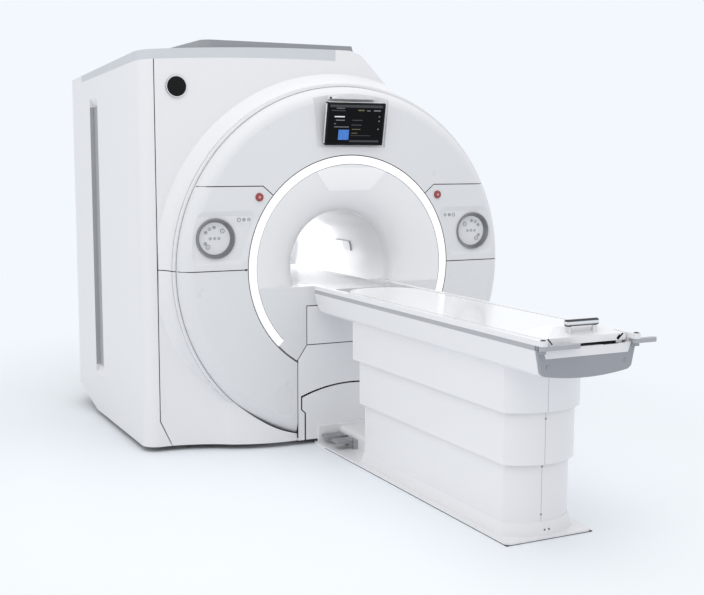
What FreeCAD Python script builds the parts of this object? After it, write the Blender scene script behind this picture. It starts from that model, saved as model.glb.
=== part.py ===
import FreeCAD, Part
import math
import os

# Hospital magnetic resonance scanner: a covered magnet with a patient bore, and a
# patient table that lifts and slides its cradle into the bore.
# Millimetres. +Z up. The bore runs along Y, the table stands on the -Y side, and the
# origin is on the floor straight under the centre of the magnet.

V = FreeCAD.Vector

# ---- gantry, as a whole -------------------------------------------------------------
BODY_DEPTH = 1760.0        # front face of the round panels to the rear face
AXIS_Z = 985.0             # bore axis above the floor
BORE_R = 300.0             # patient bore
COVER_T = 8.0              # wall of the moulded body covers
SEAM_W = 5.0               # shadow gap along a seam between two covers
SEAM_BITE = 2.0            # depth of the gap in the flat front
LEFT_X = 1131.0            # centre line to the flat left side
COVER_BOTTOM = 28.0        # lower edge of the covers
BODY_FRONT = 200.0         # flat front of the body, behind the round panels' face
CORNER_R = 80.0            # rounded front corner of the left side
REAR_CORNER_R = 60.0       # rounded rear corner of the left side
SIDE_SEAM_X = 1050.0       # seam between the left side cover and the front covers
SIDE_SEAM_TURN_Z = 168.0   # below here that seam slants towards the centre
SIDE_SEAM_FOOT_X = 986.0   # and ends here
REAR_SEAM = BODY_DEPTH - 305.0    # seam of the rear cover, behind the front face
CROWN_LEFT_Z = 2136.0      # top of the body at its left edge
CROWN_MID_X = 520.0        # a point on the crowned top, left of the centre
CROWN_MID_Z = 2172.0
CROWN_END_X = 88.0         # right end of the crowned top
CROWN_END_Z = 2179.0
SHOULDER_X = 158.0         # start of the 45 degree shoulder on the right
TOP_DROP = 75.0            # fall of the top from front to rear
TAIL_START = BODY_DEPTH - 490.0   # where the lower edge starts to rise towards the rear
TAIL_RISE = 112.0          # rise of the lower edge at the rear face
TOP_BAND_LEFT = 50.0       # height of the grey band at the left and at its right end
TOP_BAND_RIGHT = 60.0
TOP_SEAM_X = -3.0          # the grey top cover ends here
TOP_BAND_FALL = 50.0       # fall of the band's lower edge from the front to its rear end
TURRET_LEFT_X = 770.0
TURRET_RIGHT_X = 112.0
TURRET_BEVEL = 30.0         # slope of its left end
TURRET_RIGHT_BEVEL = 40.0
TURRET_ROUND = 60.0         # its rounded left front corner
TURRET_TOP_Z = 2207.0
TURRET_FOOT_Z = 2080.0
TURRET_FRONT = 232.0
TURRET_DEPTH = 900.0
SLOT_FRONT = 1080.0        # long recess in the left side
SLOT_REAR = 1262.0
SLOT_LOW_Z = 315.0
SLOT_HIGH_Z = 1878.0
SLOT_DEPTH = 30.0
SLOT_RAMP = 50.0
INLAY_T = 6.0              # grey panel in the bottom of that recess
INLAY_EDGE = 3.0
REAR_MOUTH_R = 430.0
REAR_FLARE = 170.0         # length of the rear flare
REAR_STEP = 4.0            # the flare starts this much wider than the bore
REAR_BELLY = 34.0          # how far it has opened past half its length
REAR_WALL = 12.0

# ---- round front panels ---------------------------------------------------------------
PANEL_T = 15.0             # wall of the round panels
RING_R = 610.0             # outside of the light ring
RING_W = 45.0              # width of the light ring
RING_GAP = 5.0             # gap between the ring and the panels
RING_END_ANGLE = 43.6      # the ring ends this far below the horizontal
PANEL_R = 985.0            # rolled edge of the panels
PANEL_FLAT_R = PANEL_R - 70.0     # the panels are flat out to here
PANEL_ROLL = 84.0          # how far back the edge rolls
RIM_R = PANEL_R + 20.0     # raised rim round the panels
SHOULDER_Z = AXIS_Z + RIM_R + 165.0
RIM_LAND = 3.0             # gap between panels and rim
RIM_FRONT = 78.0           # crest of the rim, behind the front face
SWEEP_R = RIM_R + 57.0     # where the rim's hollow sweep meets the flat front
FRONT_T = 12.0             # wall of the front covers, measured along the bore
UPPER_SEAM_Z = 1433.0      # seam above the control panels
UPPER_SEAM_X = 524.0       # where that seam turns down to the ring
RING_SEAM_X = 466.0        # where it meets the ring
RING_SEAM_Z = 1383.0
MID_SEAM_Z = 990.0         # seam below the control panels
LOWER_SEAM_X = 328.0       # upright seams beside the docking bay
LOWER_SEAM_Z = 480.0       # their upper end
GROOVE_DEPTH = 11.0        # depth of the seam grooves in the round panels
TOE_CORNER_X = 1021.0      # the lower covers bow forward from here
TOE_A_X = 890.0            # points on their S-shaped lower edge
TOE_A_Y = 177.0
TOE_B_X = 690.0
TOE_B_Y = 84.0
TOE_C_X = 520.0
TOE_C_Y = 24.0
TOE_END_X = 328.0
TOE_END_Y = 10.0
LIP_START_X = 520.0        # the lower covers' inner edge leaves the panels' circle here
LIP_MID_X = 425.0
LIP_MID_Z = 96.0
LIP_END_Z = 66.0

# ---- flare, bridge and docking bay ----------------------------------------------------
FLARE_T = 6.0              # wall of the flare
THROAT_Y = 190.0           # where the flare meets the bore tube
SHELF_Z = 885.0            # flat shelf in the flare
CHANNEL_HALF = 212.0       # half width of the cradle's channel
CHANNEL_Z = 862.0          # floor of the cradle's channel
BRIDGE_T = 15.0            # thickness of the bridge in the bore
BRIDGE_Z = 865.0           # top of the bridge beside the channel
BAY_HALF = 273.0           # half width of the docking panel
BAY_TOP_Z = 777.0
BAY_BOTTOM_Z = 561.0
FLAP_GAP = 9.0             # wide shadow gap over the docking flap
FLAP_APEX_Z = 327.0
FLAP_SIDE_X = 301.0
FLAP_SIDE_Z = 267.0
FLAP_NOTCH_Z = 200.0
FLAP_FOOT_X = 279.0
FLAP_FOOT_TOP_Z = 180.0
FLARE_POLE_OUT = 430.0
FLARE_POLE_OUT_Y = 26.0
FLARE_POLE_IN_Y = 70.0
FLANGE_LAP = 30.0
LIGHT_TOP = 545.0
LIGHT_LOW = 418.0
LIGHT_TOP_HALF = 235.0
LIGHT_LOW_HALF = 125.0
LIGHT_T = 3.0
SHELF_T = 12.0
UNIT_T = 9.0
UNIT_Y0 = 600.0
UNIT_Y1 = 800.0
UNIT_LOW_Z = 1016.0
UNIT_HIGH_Z = 1074.0

# ---- controls -------------------------------------------------------------------------
DIAL_X = 792.0
DIAL_Z = 1161.0
DIAL_R = 107.0
KEYPAD_R = 85.0
KEYPAD_DEPTH = 22.0        # keypad behind the front face
SCOOP_DEPTH = 7.0          # dished field round a dial
SCOOP_TOP_X = 544.0        # its inner side follows the ring
SCOOP_FOOT_X = 630.0
SCOOP_OUT_X = 935.0
SCOOP_LOW_Z = 1022.0
SCOOP_HIGH_Z = 1304.0
SCOOP_SLOPE = 26.0         # width of its sloped edge
SCOOP_ROUND = 50.0
BADGE_X = 633.0            # oblong key strips beside the dials
BADGE_Z = 1257.0
BADGE_W = 98.0
BADGE_H = 37.0
BADGE_T = 1.5
STOP_X = 547.0             # emergency stop buttons
STOP_Z = 1375.0
STOP_R = 22.5
STOP_TRAVEL = 6.0
ROUND_BADGE_X = 930.0
ROUND_BADGE_Z = 1954.0
ROUND_BADGE_R = 57.0
ROUND_BADGE_T = 6.0
ROUND_BADGE_EDGE = 7.0
ROUND_BADGE_DISH = 1.5
STOP_OUT = 9.0             # button's face in front of the panels
STOP_ROUND = 5.0
STOP_COLLAR_W = 5.0
COLLAR_OUT = 1.5
COLLAR_DEEP = 28.5
COLLAR_FLOOR = 24.0
DIAL_PROUD = 4.0
DIAL_FLANGE = 8.0
KEY_R = 9.0
KEY_RAISE = 1.0
KEY_ARC_R = 58.0
KEY_ROW = 24.0

# ---- display --------------------------------------------------------------------------
NICHE_HALF_TOP = 237.0      # the niche runs out over the panels' rolled edge
NICHE_HALF_LOW = 204.0
NICHE_LOW_Z = 1641.0
NICHE_HIGH_Z = 1990.0
NICHE_DEPTH = 9.0
SCREEN_W = 352.0
SCREEN_H = 232.0
SCREEN_T = 24.0
SCREEN_Z = 1764.0          # middle of the screen
SCREEN_OUT = 46.0          # middle of the glass, in front of the panels
SCREEN_TILT = 11.0         # degrees, glass turned down
SCREEN_PIN_R = 5.0
PIN_CLEAR = 0.05           # radial clearance of a turning pin
CAP_HALF = 136.0           # pale cap over the display
CAP_OUT = 30.0
CAP_Z = 1898.0
CAP_RISE = 30.0
CASE_EDGE = 8.0            # rounded corners of the display's case
GLASS_INSET = 9.0
GLASS_T = 2.4
GLASS_SINK = 0.6           # glass below the case's rim
LUG_R = 10.0
LUG_W = 10.0
LUG_XS = (-40.0, 30.0)     # left faces of the case's two lugs
EAR_R = 8.5                # eyes of the display's bracket
EAR_XS = (-28.0, 18.0)
EAR_W = 10.0
PIN_HALF = 42.0
PIVOT_UP = 10.0            # the pin is this far above the middle of the screen
PIVOT_BACK = 9.0           # and this far behind its case
FOOT_HALF = 70.0           # bracket's foot plate
FOOT_UP = 60.0
FOOT_T = 4.0

# ---- magnet and its frame -------------------------------------------------------------
VESSEL_R = 900.0
VESSEL_BORE_R = 450.0
VESSEL_HALF = BODY_DEPTH / 2 - 140.0
COIL_CLEAR = 0.4           # radial clearance between nested cylinders
GRADIENT_R = 330.0         # inside of the gradient coil
BORE_T = 6.0
BASE_RAIL_X = 420.0
BASE_RAIL_W = 160.0
BASE_RAIL_H = 60.0
BASE_CROSS_W = 120.0
BASE_CROSS_H = 40.0
ANCHOR_R = 9.0             # anchor bolt holes
ANCHOR_Y = VESSEL_HALF - 180.0
COLD_HEAD_X = 330.0
COLD_HEAD_Y = -180.0
COLD_HEAD_TOP = 2110.0
SADDLE_Y = 330.0
SADDLE_W = 200.0
SADDLE_TOP = 300.0
COVER_RING_OUT = PANEL_FLAT_R - 3.0
COVER_RING_IN = COVER_RING_OUT - 50.0
STANDOFFS = 8
STANDOFF_R = 14.0
BODY_COIL_END = 100.0      # the body coil stops this far inside the vessel's ends
COLD_NECK_R = 120.0
COLD_MOTOR_R = 70.0
COLD_MOTOR_H = 90.0
COLD_SINK = 30.0           # the neck reaches this far into the vessel's curve

# ---- patient table --------------------------------------------------------------------
TABLE_HEAD = 43.0          # head end of the table, in front of the round panels' face
TABLE_FOOT = 2080.0        # foot end of the table's body
TABLE_TOP_Z = 891.0
TABLE_HALF = 245.0
RIM_W = 35.0               # width of the table's top rim
RIM_H = 21.0
STRIP_H = 20.0             # grey side strip
STRIP_T = 7.0
SKIRT_LOW_HALF = 222.0     # half width at the skirt's lower bend
SKIRT_BEND_Z = 748.0
SKIRT_BOTTOM_Z = 725.0     # middle of the bowed underside
SKIRT_T = 6.0
DECK_T = 12.0
LIFT = 400.0               # travel of the table's lift
CRADLE_HALF = 202.0
CRADLE_HEAD = 250.0        # head end of the cradle, in front of the face
CRADLE_T = 28.0
CRADLE_SLIP = 0.4          # running clearance under and beside the cradle
CRADLE_TRAVEL = 1850.0
HOOD_LENGTH = 150.0
HOOD_TOP_Z = 925.0
GRIP_HALF = 62.0           # chrome grip on the cradle's hood
GRIP_BAR_R = 14.0
GRIP_Z = 942.0
END_PANEL_T = 12.0
HANDLE_X = 228.0           # pivots of the swing handles
HANDLE_OUT = 30.0          # pivots beyond the table's foot end
HANDLE_LEFT_L = 176.0      # left handle, from its pivot to its tip
HANDLE_RIGHT_L = 101.0
HANDLE_W = 26.0
HANDLE_H = 18.0
HANDLE_PIN_R = 7.0
SKIRT_ROUND = 18.0
HEAD_CORNER_Z = 800.0
HEAD_ROUND = 92.0
BELT_X = 120.0
BELT_W = 20.0
BELT_T = 2.0
BELT_END = 60.0            # pulleys, from each end of the table
BELT_SLOT_CLEAR = 8.0
BELT_SIDE_CLEAR = 4.0
PULLEY_R = 8.0
PULLEY_SHAFT_R = 4.0
SHAFT_HOLD = 14.0
GUIDE_H = 12.0
GUIDE_X = 170.0
GUIDE_W = 30.0
CHANNEL_END_TOP = 216.0
CHANNEL_END_LOW = 201.0
CHANNEL_END_Z = 815.0
TROUGH_HALF = 196.0
END_SCREW_X = 191.0
END_SCREW_Z = 782.0
SCREW_R = 4.0
SCREW_HEAD_R = 6.5
SCREW_HEAD_T = 3.0
FOOT_H = 12.0              # foot under each swing handle
FOOT_HALF_W = 9.0
PIN_CAP_R = 12.0           # cap on top of each handle's pin
PIN_CAP_T = 2.5
HUB_ROUND = 2.0            # the handle's hub is this much larger than its arm
CRADLE_END = 4.0           # the cradle stops this far short of the table's end
NOSE_SHARE = 0.8           # length of the cradle's round head end, in half widths
HOOD_HALF = 180.0
HOOD_TOP_HALF = 115.0
HOOD_FOOT = 60.0           # slopes of the raised foot end, along the table
HOOD_RAMP = 40.0
HOOD_BACK = 60.0
GRIP_Y = TABLE_FOOT - 30.0
GRIP_LEG_R = 11.0

# ---- table column ---------------------------------------------------------------------
COLUMN_T = 6.0
COLUMN_BOW = 70.0          # bulge of the column's foot end
UPPER_HALF = 195.5
MIDDLE_HALF = 180.7
LOWER_HALF = 167.4
UPPER_END = 1802.0         # foot end of each cover, in front of the face
MIDDLE_END = 1787.0
LOWER_END = 1769.0
UPPER_REAR = 411.0         # gantry end of each cover
MIDDLE_REAR = 460.0
LOWER_REAR = 497.0
LOWER_TOP_Z = 316.0        # lower edge of the middle cover
MIDDLE_TOP_Z = 542.0       # lower edge of the upper cover
COVER_LAP = 24.0           # how far a cover reaches up into the next
PLINTH_TOP_Z = 66.0
PLINTH_MARGIN = 16.0
PLINTH_LAND = 3.0
BASE_T = 12.0
BASE_HALF = 219.0
BASE_END = 1880.0
BASE_ROUND = 24.0
BASE_REAR = 40.0           # the base reaches this far under the gantry
POST_A_Y = 700.0           # lift posts, in front of the face
POST_B_Y = 1500.0
POST_W = 120.0             # outer lift tube, square
POST_T = 6.0
POST_SLIP = 0.5
POST_LAP = 50.0
POST_FOOT_OUT = 20.0
POST_FOOT_T = 10.0
PUMP_HALF = 90.0           # lift pump between the posts
PUMP_FAR = 150.0
PUMP_NEAR = 40.0
PUMP_TOP = 130.0
MOTOR_R = 45.0
MOTOR_L = 150.0
MOTOR_Z = 75.0
MOTOR_FOOT_HALF = 30.0
MOTOR_FOOT_GAP = 20.0
MOTOR_FOOT_TOP = 40.0
DOCK_HALF = 210.0          # docking block at the gantry end of the base
DOCK_TOP_Z = 104.0
DOCK_T = 22.0
PEDAL_X = 145.0
PEDAL_A_Y = 72.0           # the two pedals, in front of the face
PEDAL_B_Y = 198.0
PEDAL_L = 110.0
PEDAL_W = 78.0
PEDAL_T = 16.0
PEDAL_Z = 52.0
PEDAL_SHAFT_R = 6.0
PEDAL_HUB_R = 11.0
TABLE_ANCHOR_X = 100.0
TABLE_ANCHOR_R = 6.0
TABLE_ANCHOR_NEAR = 900.0
TABLE_ANCHOR_FAR = 1300.0
BRACKET_W = 170.0
BRACKET_T = 8.0
DOCK_GAP = 0.3             # docked block to the flap
HOOD_LOW_X = 84.0
HOOD_HIGH_Z = 92.0
HOOD_EDGE = 25.0
PEDAL_SHAFT_OUT = 16.0
PEDAL_BLOCK_T = 12.0        # bearing blocks of the pedals' shaft
PEDAL_BLOCK_W = 10.0

FACE_Y = -BODY_DEPTH / 2   # plane of the round panels' front face
REAR_Y = BODY_DEPTH / 2
BIG = 4000.0               # larger than the machine, for cutting blocks
PANEL_CLEAR = 0.3          # small clearance between a moving piece and its neighbour


# ---- small tools ----------------------------------------------------------------------
def box(x, y, z):
    """A block from three (low, high) pairs."""
    return Part.makeBox(x[1] - x[0], y[1] - y[0], z[1] - z[0], V(x[0], y[0], z[0]))


def rod(start, axis, radius, length):
    return Part.makeCylinder(radius, length, V(*start), V(*axis))


def behind(y):
    """A place along the bore, measured back from the front face."""
    return FACE_Y + y


def front(y):
    """Lays a front-view point in the plane at y behind the face."""
    return lambda x, z: V(x, behind(y), z)


def plan(z):
    return lambda x, y: V(x, behind(y), z)


def side(x):
    return lambda y, z: V(x, behind(y), z)


def turned(r, y):
    """Lays a section point beside the bore axis, to be turned about it."""
    return V(r, behind(y), AXIS_Z)


def wire(lay, start, *moves):
    """A closed wire of lines (x, y) and three-point arcs ((x, y), (x, y))."""
    first = lay(*start)
    here = first
    edges = []
    for move in moves:
        if isinstance(move[0], tuple):
            end = lay(*move[1])
            edges.append(Part.Arc(here, lay(*move[0]), end).toShape())
        else:
            end = lay(*move)
            edges.append(Part.makeLine(here, end))
        here = end
    if here.distanceToPoint(first) > 1e-6:
        edges.append(Part.makeLine(here, first))
    return Part.Wire(edges)


def raised(outline, direction):
    return Part.Face(outline).extrude(V(*direction))


def spun(outline):
    """Turns a section once about the bore axis."""
    return Part.Face(outline).revolve(V(0, 0, AXIS_Z), V(0, 1, 0), 360)


def ring(inner, outer, y0, y1):
    """A plain ring about the bore axis."""
    outside = rod((0, behind(y0), AXIS_Z), (0, 1, 0), outer, y1 - y0)
    return outside.cut(rod((0, behind(y0), AXIS_Z), (0, 1, 0), inner, y1 - y0))


def mirrored(shape):
    return shape.mirror(V(0, 0, 0), V(1, 0, 0))


def joined(shapes):
    return shapes[0].multiFuse(shapes[1:]).removeSplitter()


def rounded_box(x, y, z, radius, axis):
    """A block with the four edges along one axis rounded."""
    block = box(x, y, z)
    along = V(*axis)
    edges = [e for e in block.Edges if abs(e.tangentAt(e.FirstParameter).dot(along)) > 0.99]
    return block.makeFillet(radius, edges)


def inside_z(low, high):
    return box((-BIG, BIG), (-BIG, BIG), (low, high))


def inside_x(low, high):
    return box((low, high), (-BIG, BIG), (-BIG, BIG))


# ---- body of the gantry ---------------------------------------------------------------
def body_outline(inset, drop, y):
    """The body's front view, drawn in by a wall and with its top lowered."""
    diagonal = inset * math.sqrt(2)
    reach = SHOULDER_X + SHOULDER_Z - AXIS_Z - diagonal
    radius = RIM_R - inset
    meet_x = (reach - math.sqrt(2 * radius ** 2 - reach ** 2)) / 2
    meet = (meet_x, AXIS_Z + reach - meet_x)
    angle = math.atan2(meet[1] - AXIS_Z, meet[0]) / 2
    bottom = COVER_BOTTOM - 2 * inset
    return wire(
        front(y),
        (-LEFT_X + inset, bottom),
        (-LEFT_X + inset, CROWN_LEFT_Z - inset - drop),
        (
            (-CROWN_MID_X, CROWN_MID_Z - inset - drop),
            (CROWN_END_X + drop - inset, CROWN_END_Z - inset - drop),
        ),
        (SHOULDER_X + drop - diagonal / 2, SHOULDER_Z - drop - diagonal / 2),
        meet,
        (
            (radius * math.cos(angle), AXIS_Z + radius * math.sin(angle)),
            (radius, AXIS_Z),
        ),
        (radius, bottom),
    )


def body_block(inset):
    """The body as a solid, drawn in by a wall on every side but the bottom."""
    drop_rate = TOP_DROP / (BODY_DEPTH - BODY_FRONT)
    y0 = BODY_FRONT + inset
    y1 = BODY_DEPTH - inset
    block = Part.makeLoft(
        [
            body_outline(inset, drop_rate * (y0 - BODY_FRONT), y0),
            body_outline(inset, drop_rate * (y1 - BODY_FRONT), y1),
        ],
        True,
        True,
    )
    for x, y, radius in ((-LEFT_X, BODY_FRONT, CORNER_R), (-LEFT_X, BODY_DEPTH, REAR_CORNER_R)):
        found = [
            e for e in block.Edges
            if abs(e.BoundBox.XLength) < 1 and abs(e.BoundBox.YLength) < 1
            and abs(abs(e.CenterOfMass.x - x) - inset) < 1
            and abs(abs(e.CenterOfMass.y - behind(y)) - inset) < 1
        ]
        block = block.makeFillet(radius - inset, found)
    return block


def band_line(drop, y):
    """The region over the white covers, filled by the grey top cover."""
    return wire(
        front(y),
        (-LEFT_X - COVER_T, CROWN_LEFT_Z - TOP_BAND_LEFT - drop),
        (
            (-CROWN_MID_X, CROWN_MID_Z - (TOP_BAND_LEFT + TOP_BAND_RIGHT) / 2 - drop),
            (TOP_SEAM_X, CROWN_END_Z - TOP_BAND_RIGHT - drop),
        ),
        (TOP_SEAM_X, CROWN_END_Z + COVER_T),
        (-LEFT_X - COVER_T, CROWN_END_Z + COVER_T),
    )


SHELL = body_block(0).cut(body_block(COVER_T))
TAIL = raised(
    wire(side(-BIG / 2), (TAIL_START, COVER_BOTTOM), (BODY_DEPTH + COVER_T, COVER_BOTTOM + TAIL_RISE),
         (BODY_DEPTH + COVER_T, -BIG), (TAIL_START, -BIG)),
    (BIG, 0, 0),
)
SHELL = SHELL.common(inside_z(COVER_BOTTOM, BIG)).cut(TAIL)
TOP_REGION = Part.makeLoft(
    [band_line(0, BODY_FRONT - FRONT_T), band_line(TOP_BAND_FALL, REAR_SEAM)], True, True
)
REAR_REGION = box((-BIG, BIG), (behind(REAR_SEAM), BIG), (-BIG, BIG))
FRONT_WALL = box((-SIDE_SEAM_X, BIG), (-BIG, behind(BODY_FRONT + FRONT_T)), (-BIG, BIG))


def groove_front(points, depth, y):
    """Shadow grooves along a front-view line, cut to a depth behind y."""
    cuts = []
    for (x0, z0), (x1, z1) in zip(points, points[1:]):
        length = math.hypot(x1 - x0, z1 - z0)
        bar = box((-SEAM_W / 2, length + SEAM_W / 2), (behind(y) - BODY_FRONT, behind(y) + depth),
                  (-SEAM_W / 2, SEAM_W / 2))
        bar.rotate(V(0, 0, 0), V(0, -1, 0), math.degrees(math.atan2(z1 - z0, x1 - x0)))
        bar.translate(V(x0, 0, z0))
        cuts.append(bar)
    return cuts


def top_cover():
    """Grey lid of the body."""
    return SHELL.common(TOP_REGION)


def turret_block(inset):
    """The turret's cap, drawn in by a wall, with its left front corner rounded."""
    left = TURRET_LEFT_X - inset
    right = TURRET_RIGHT_X - inset
    block = raised(
        wire(
            front(TURRET_FRONT + inset),
            (-left - TURRET_BEVEL, TURRET_FOOT_Z),
            (-left, TURRET_TOP_Z - inset),
            (right, TURRET_TOP_Z - inset),
            (right + TURRET_RIGHT_BEVEL, TURRET_FOOT_Z),
        ),
        (0, TURRET_DEPTH - 2 * inset, 0),
    )
    corner = [e for e in block.Edges if e.BoundBox.XMax < 1 - left
              and e.BoundBox.YMax < behind(TURRET_FRONT + inset) + 1]
    return block.makeFillet(TURRET_ROUND - inset, corner)


def turret_cover():
    """Low dark cap over the magnet's service turret."""
    return turret_block(0).cut(turret_block(COVER_T)).cut(body_block(0))


def slot_pocket(grow):
    """The side recess, with sloped ends, grown by a wall."""
    x0 = -LEFT_X - COVER_T
    deep = -LEFT_X + SLOT_DEPTH + grow
    outline = wire(
        lambda x, z: V(x, behind(SLOT_FRONT - grow), z),
        (x0, SLOT_LOW_Z - grow - SLOT_RAMP),
        (-LEFT_X, SLOT_LOW_Z - grow - SLOT_RAMP),
        (deep, SLOT_LOW_Z - grow),
        (deep, SLOT_HIGH_Z + grow),
        (-LEFT_X, SLOT_HIGH_Z + grow + SLOT_RAMP),
        (x0, SLOT_HIGH_Z + grow + SLOT_RAMP),
    )
    return raised(outline, (0, SLOT_REAR - SLOT_FRONT + 2 * grow, 0))


def left_side_cover():
    """Flat left side with its rounded front corner and the long recess."""
    part = SHELL.cut(TOP_REGION).cut(REAR_REGION).common(inside_x(-BIG, -SIDE_SEAM_X))
    wall = slot_pocket(COVER_T).common(inside_x(-LEFT_X, BIG))
    part = part.fuse(wall).cut(slot_pocket(0))
    return joined([part, front_shell(True).common(SEAM_CORNER)]).cut(SIDE_GROOVE)


SIDE_GROOVE = groove_front(
    ((-SIDE_SEAM_X, CROWN_END_Z), (-SIDE_SEAM_X, SIDE_SEAM_TURN_Z), (-SIDE_SEAM_FOOT_X, COVER_BOTTOM)),
    COVER_T - 2,
    BODY_FRONT,
)
SEAM_CORNER = raised(
    wire(front(0), (-SIDE_SEAM_X, SIDE_SEAM_TURN_Z), (-SIDE_SEAM_X, COVER_BOTTOM),
         (-SIDE_SEAM_FOOT_X, COVER_BOTTOM)),
    (0, BODY_FRONT + FRONT_T, 0),
)


def side_inlay():
    """Plain grey panel in the bottom of the side recess, turned up along its rear wall."""
    x0 = -LEFT_X + SLOT_DEPTH - INLAY_T
    panel = box((x0, -LEFT_X + SLOT_DEPTH), (behind(SLOT_FRONT), behind(SLOT_REAR)),
                (SLOT_LOW_Z, SLOT_HIGH_Z))
    long_edges = [e for e in panel.Edges if e.BoundBox.ZLength > 1 and e.BoundBox.XMax < x0 + 1]
    flange = box((-LEFT_X, x0), (behind(SLOT_REAR) - INLAY_EDGE, behind(SLOT_REAR)),
                 (SLOT_LOW_Z, SLOT_HIGH_Z))
    front_edges = [e for e in long_edges if e.BoundBox.YMax < behind(SLOT_REAR) - 1]
    return joined([panel.makeFillet(INLAY_EDGE, front_edges), flange])


def right_side_cover():
    """Right side: the 45 degree shoulder, the round flank and the flat below it."""
    part = SHELL.cut(TOP_REGION).cut(REAR_REGION).cut(FRONT_WALL)
    return part.common(inside_x(-SIDE_SEAM_X, BIG))


def rear_cover():
    """Rear wall with the flared opening of the bore."""
    part = SHELL.cut(TOP_REGION).common(REAR_REGION)
    hole = rod((0, 0, AXIS_Z), (0, 1, 0), REAR_MOUTH_R, BIG)
    return part.cut(hole)


# ---- front covers ---------------------------------------------------------------------
def sweep_block():
    """Everything behind the rim's crest and hollow sweep, as a turned solid."""
    deep = BODY_FRONT + CORNER_R
    return spun(wire(
        turned,
        (PANEL_R - PANEL_T, deep),
        (PANEL_R - PANEL_T, PANEL_ROLL),
        (PANEL_R + RIM_LAND, PANEL_ROLL),
        (PANEL_R + RIM_LAND, RIM_FRONT + 2),
        ((RIM_R - 8, RIM_FRONT), (RIM_R, RIM_FRONT + 2)),
        ((RIM_R + 18, BODY_FRONT - 42), (SWEEP_R, BODY_FRONT)),
        (SWEEP_R, deep),
    ))


def toe_block(bowed):
    """Everything behind the front of the body; the lower covers bow forward."""
    deep = BODY_FRONT + CORNER_R
    if not bowed:
        return box((-LEFT_X, RIM_R), (behind(BODY_FRONT), behind(deep)), (-COVER_T, BIG))
    half = wire(
        plan(-COVER_T),
        (-LEFT_X, BODY_FRONT),
        (-TOE_CORNER_X, BODY_FRONT),
        ((-TOE_A_X, TOE_A_Y), (-TOE_B_X, TOE_B_Y)),
        ((-TOE_C_X, TOE_C_Y), (-TOE_END_X, TOE_END_Y)),
        (0, TOE_END_Y),
        (0, deep),
        (-LEFT_X, deep),
    )
    left = raised(half, (0, 0, MID_SEAM_Z + FRONT_T))
    return left.fuse(mirrored(left))


def front_block(bowed):
    """Everything behind a front cover's outer face, clear of the round panels."""
    inner = rod((0, behind(0), AXIS_Z), (0, 1, 0), PANEL_R + RIM_LAND, BIG)
    if bowed:
        inner = inner.cut(toe_lips(0))
    return toe_block(bowed).cut(inner).fuse(sweep_block())


def toe_lips(up):
    """What lies below the lower covers' inner edge, beside the docking bay."""
    start_z = AXIS_Z - math.sqrt((PANEL_R + RIM_LAND) ** 2 - LIP_START_X ** 2)
    lip = raised(
        wire(
            front(0),
            (-LIP_START_X, start_z + up),
            ((-LIP_MID_X, LIP_MID_Z + up), (-LOWER_SEAM_X, LIP_END_Z + up)),
            (-LOWER_SEAM_X, -COVER_T),
            (-LIP_START_X, -COVER_T),
        ),
        (0, BODY_FRONT, 0),
    )
    return joined([lip, mirrored(lip)])


def front_shell(bowed):
    """A front cover's wall, out to the body's outline."""
    solid = front_block(bowed)
    back = solid.copy()
    back.translate(V(0, FRONT_T, 0))
    shell = solid.cut(back).common(FRONT_WALL)
    prism = raised(body_outline(0, 0, 0), (0, BODY_FRONT + FRONT_T, 0))
    return shell.common(prism).common(inside_z(COVER_BOTTOM, BIG))


def rim_wall():
    """Wall that runs back from the rim on the round right side."""
    wall = ring(RIM_R - COVER_T, RIM_R, RIM_FRONT + FRONT_T, BODY_FRONT + FRONT_T)
    reach = SHOULDER_X + SHOULDER_Z - AXIS_Z
    meet_x = (reach - math.sqrt(2 * RIM_R ** 2 - reach ** 2)) / 2
    return wall.common(box((meet_x, BIG), (-BIG, BIG), (AXIS_Z, BIG)))


def front_cover_upper():
    """White cover round the upper half of the panels."""
    part = front_shell(False).cut(TOP_REGION).common(inside_z(MID_SEAM_Z, BIG))
    part = joined([part, rim_wall().common(inside_z(MID_SEAM_Z, BIG))])
    return part.cut(SIDE_GROOVE).cut(SEAM_BAR)


def front_cover_lower_left():
    part = front_shell(True).common(inside_z(COVER_BOTTOM, MID_SEAM_Z))
    part = part.common(inside_x(-SIDE_SEAM_X, -LOWER_SEAM_X)).cut(SEAM_CORNER)
    return part.cut(SIDE_GROOVE).cut(SEAM_BAR)


def front_cover_lower_right():
    part = front_shell(True).common(inside_z(COVER_BOTTOM, MID_SEAM_Z))
    part = part.common(inside_x(LOWER_SEAM_X, BIG))
    return joined([part, right_flank()]).cut(SEAM_BAR)


def right_flank():
    """Side wall of the lower right cover, back to the right side cover."""
    flank = box((RIM_R - COVER_T, RIM_R), (-BIG, behind(BODY_FRONT + FRONT_T)),
                (COVER_BOTTOM, MID_SEAM_Z))
    return front_block(True).common(flank)


SEAM_BAR = box((-BIG, BIG), (-BIG, behind(BODY_FRONT + SEAM_BITE)),
               (MID_SEAM_Z - SEAM_W / 2, MID_SEAM_Z + SEAM_W / 2))


# ---- round front panels ---------------------------------------------------------------
def panel_disc():
    """All the round panels in one: flat, with a rolled outer edge."""
    roll = PANEL_R - PANEL_FLAT_R
    lean = math.sqrt(0.5)
    inner_roll = roll - PANEL_T
    return spun(wire(
        turned,
        (RING_R + RING_GAP, 0),
        (PANEL_FLAT_R, 0),
        (
            (PANEL_FLAT_R + roll * lean, PANEL_ROLL * (1 - lean)),
            (PANEL_R, PANEL_ROLL),
        ),
        (PANEL_R - PANEL_T, PANEL_ROLL),
        (
            (PANEL_FLAT_R + inner_roll * lean, PANEL_T + (PANEL_ROLL - PANEL_T) * (1 - lean)),
            (PANEL_FLAT_R, PANEL_T),
        ),
        (RING_R + RING_GAP, PANEL_T),
    ))


DISC = panel_disc()


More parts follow.
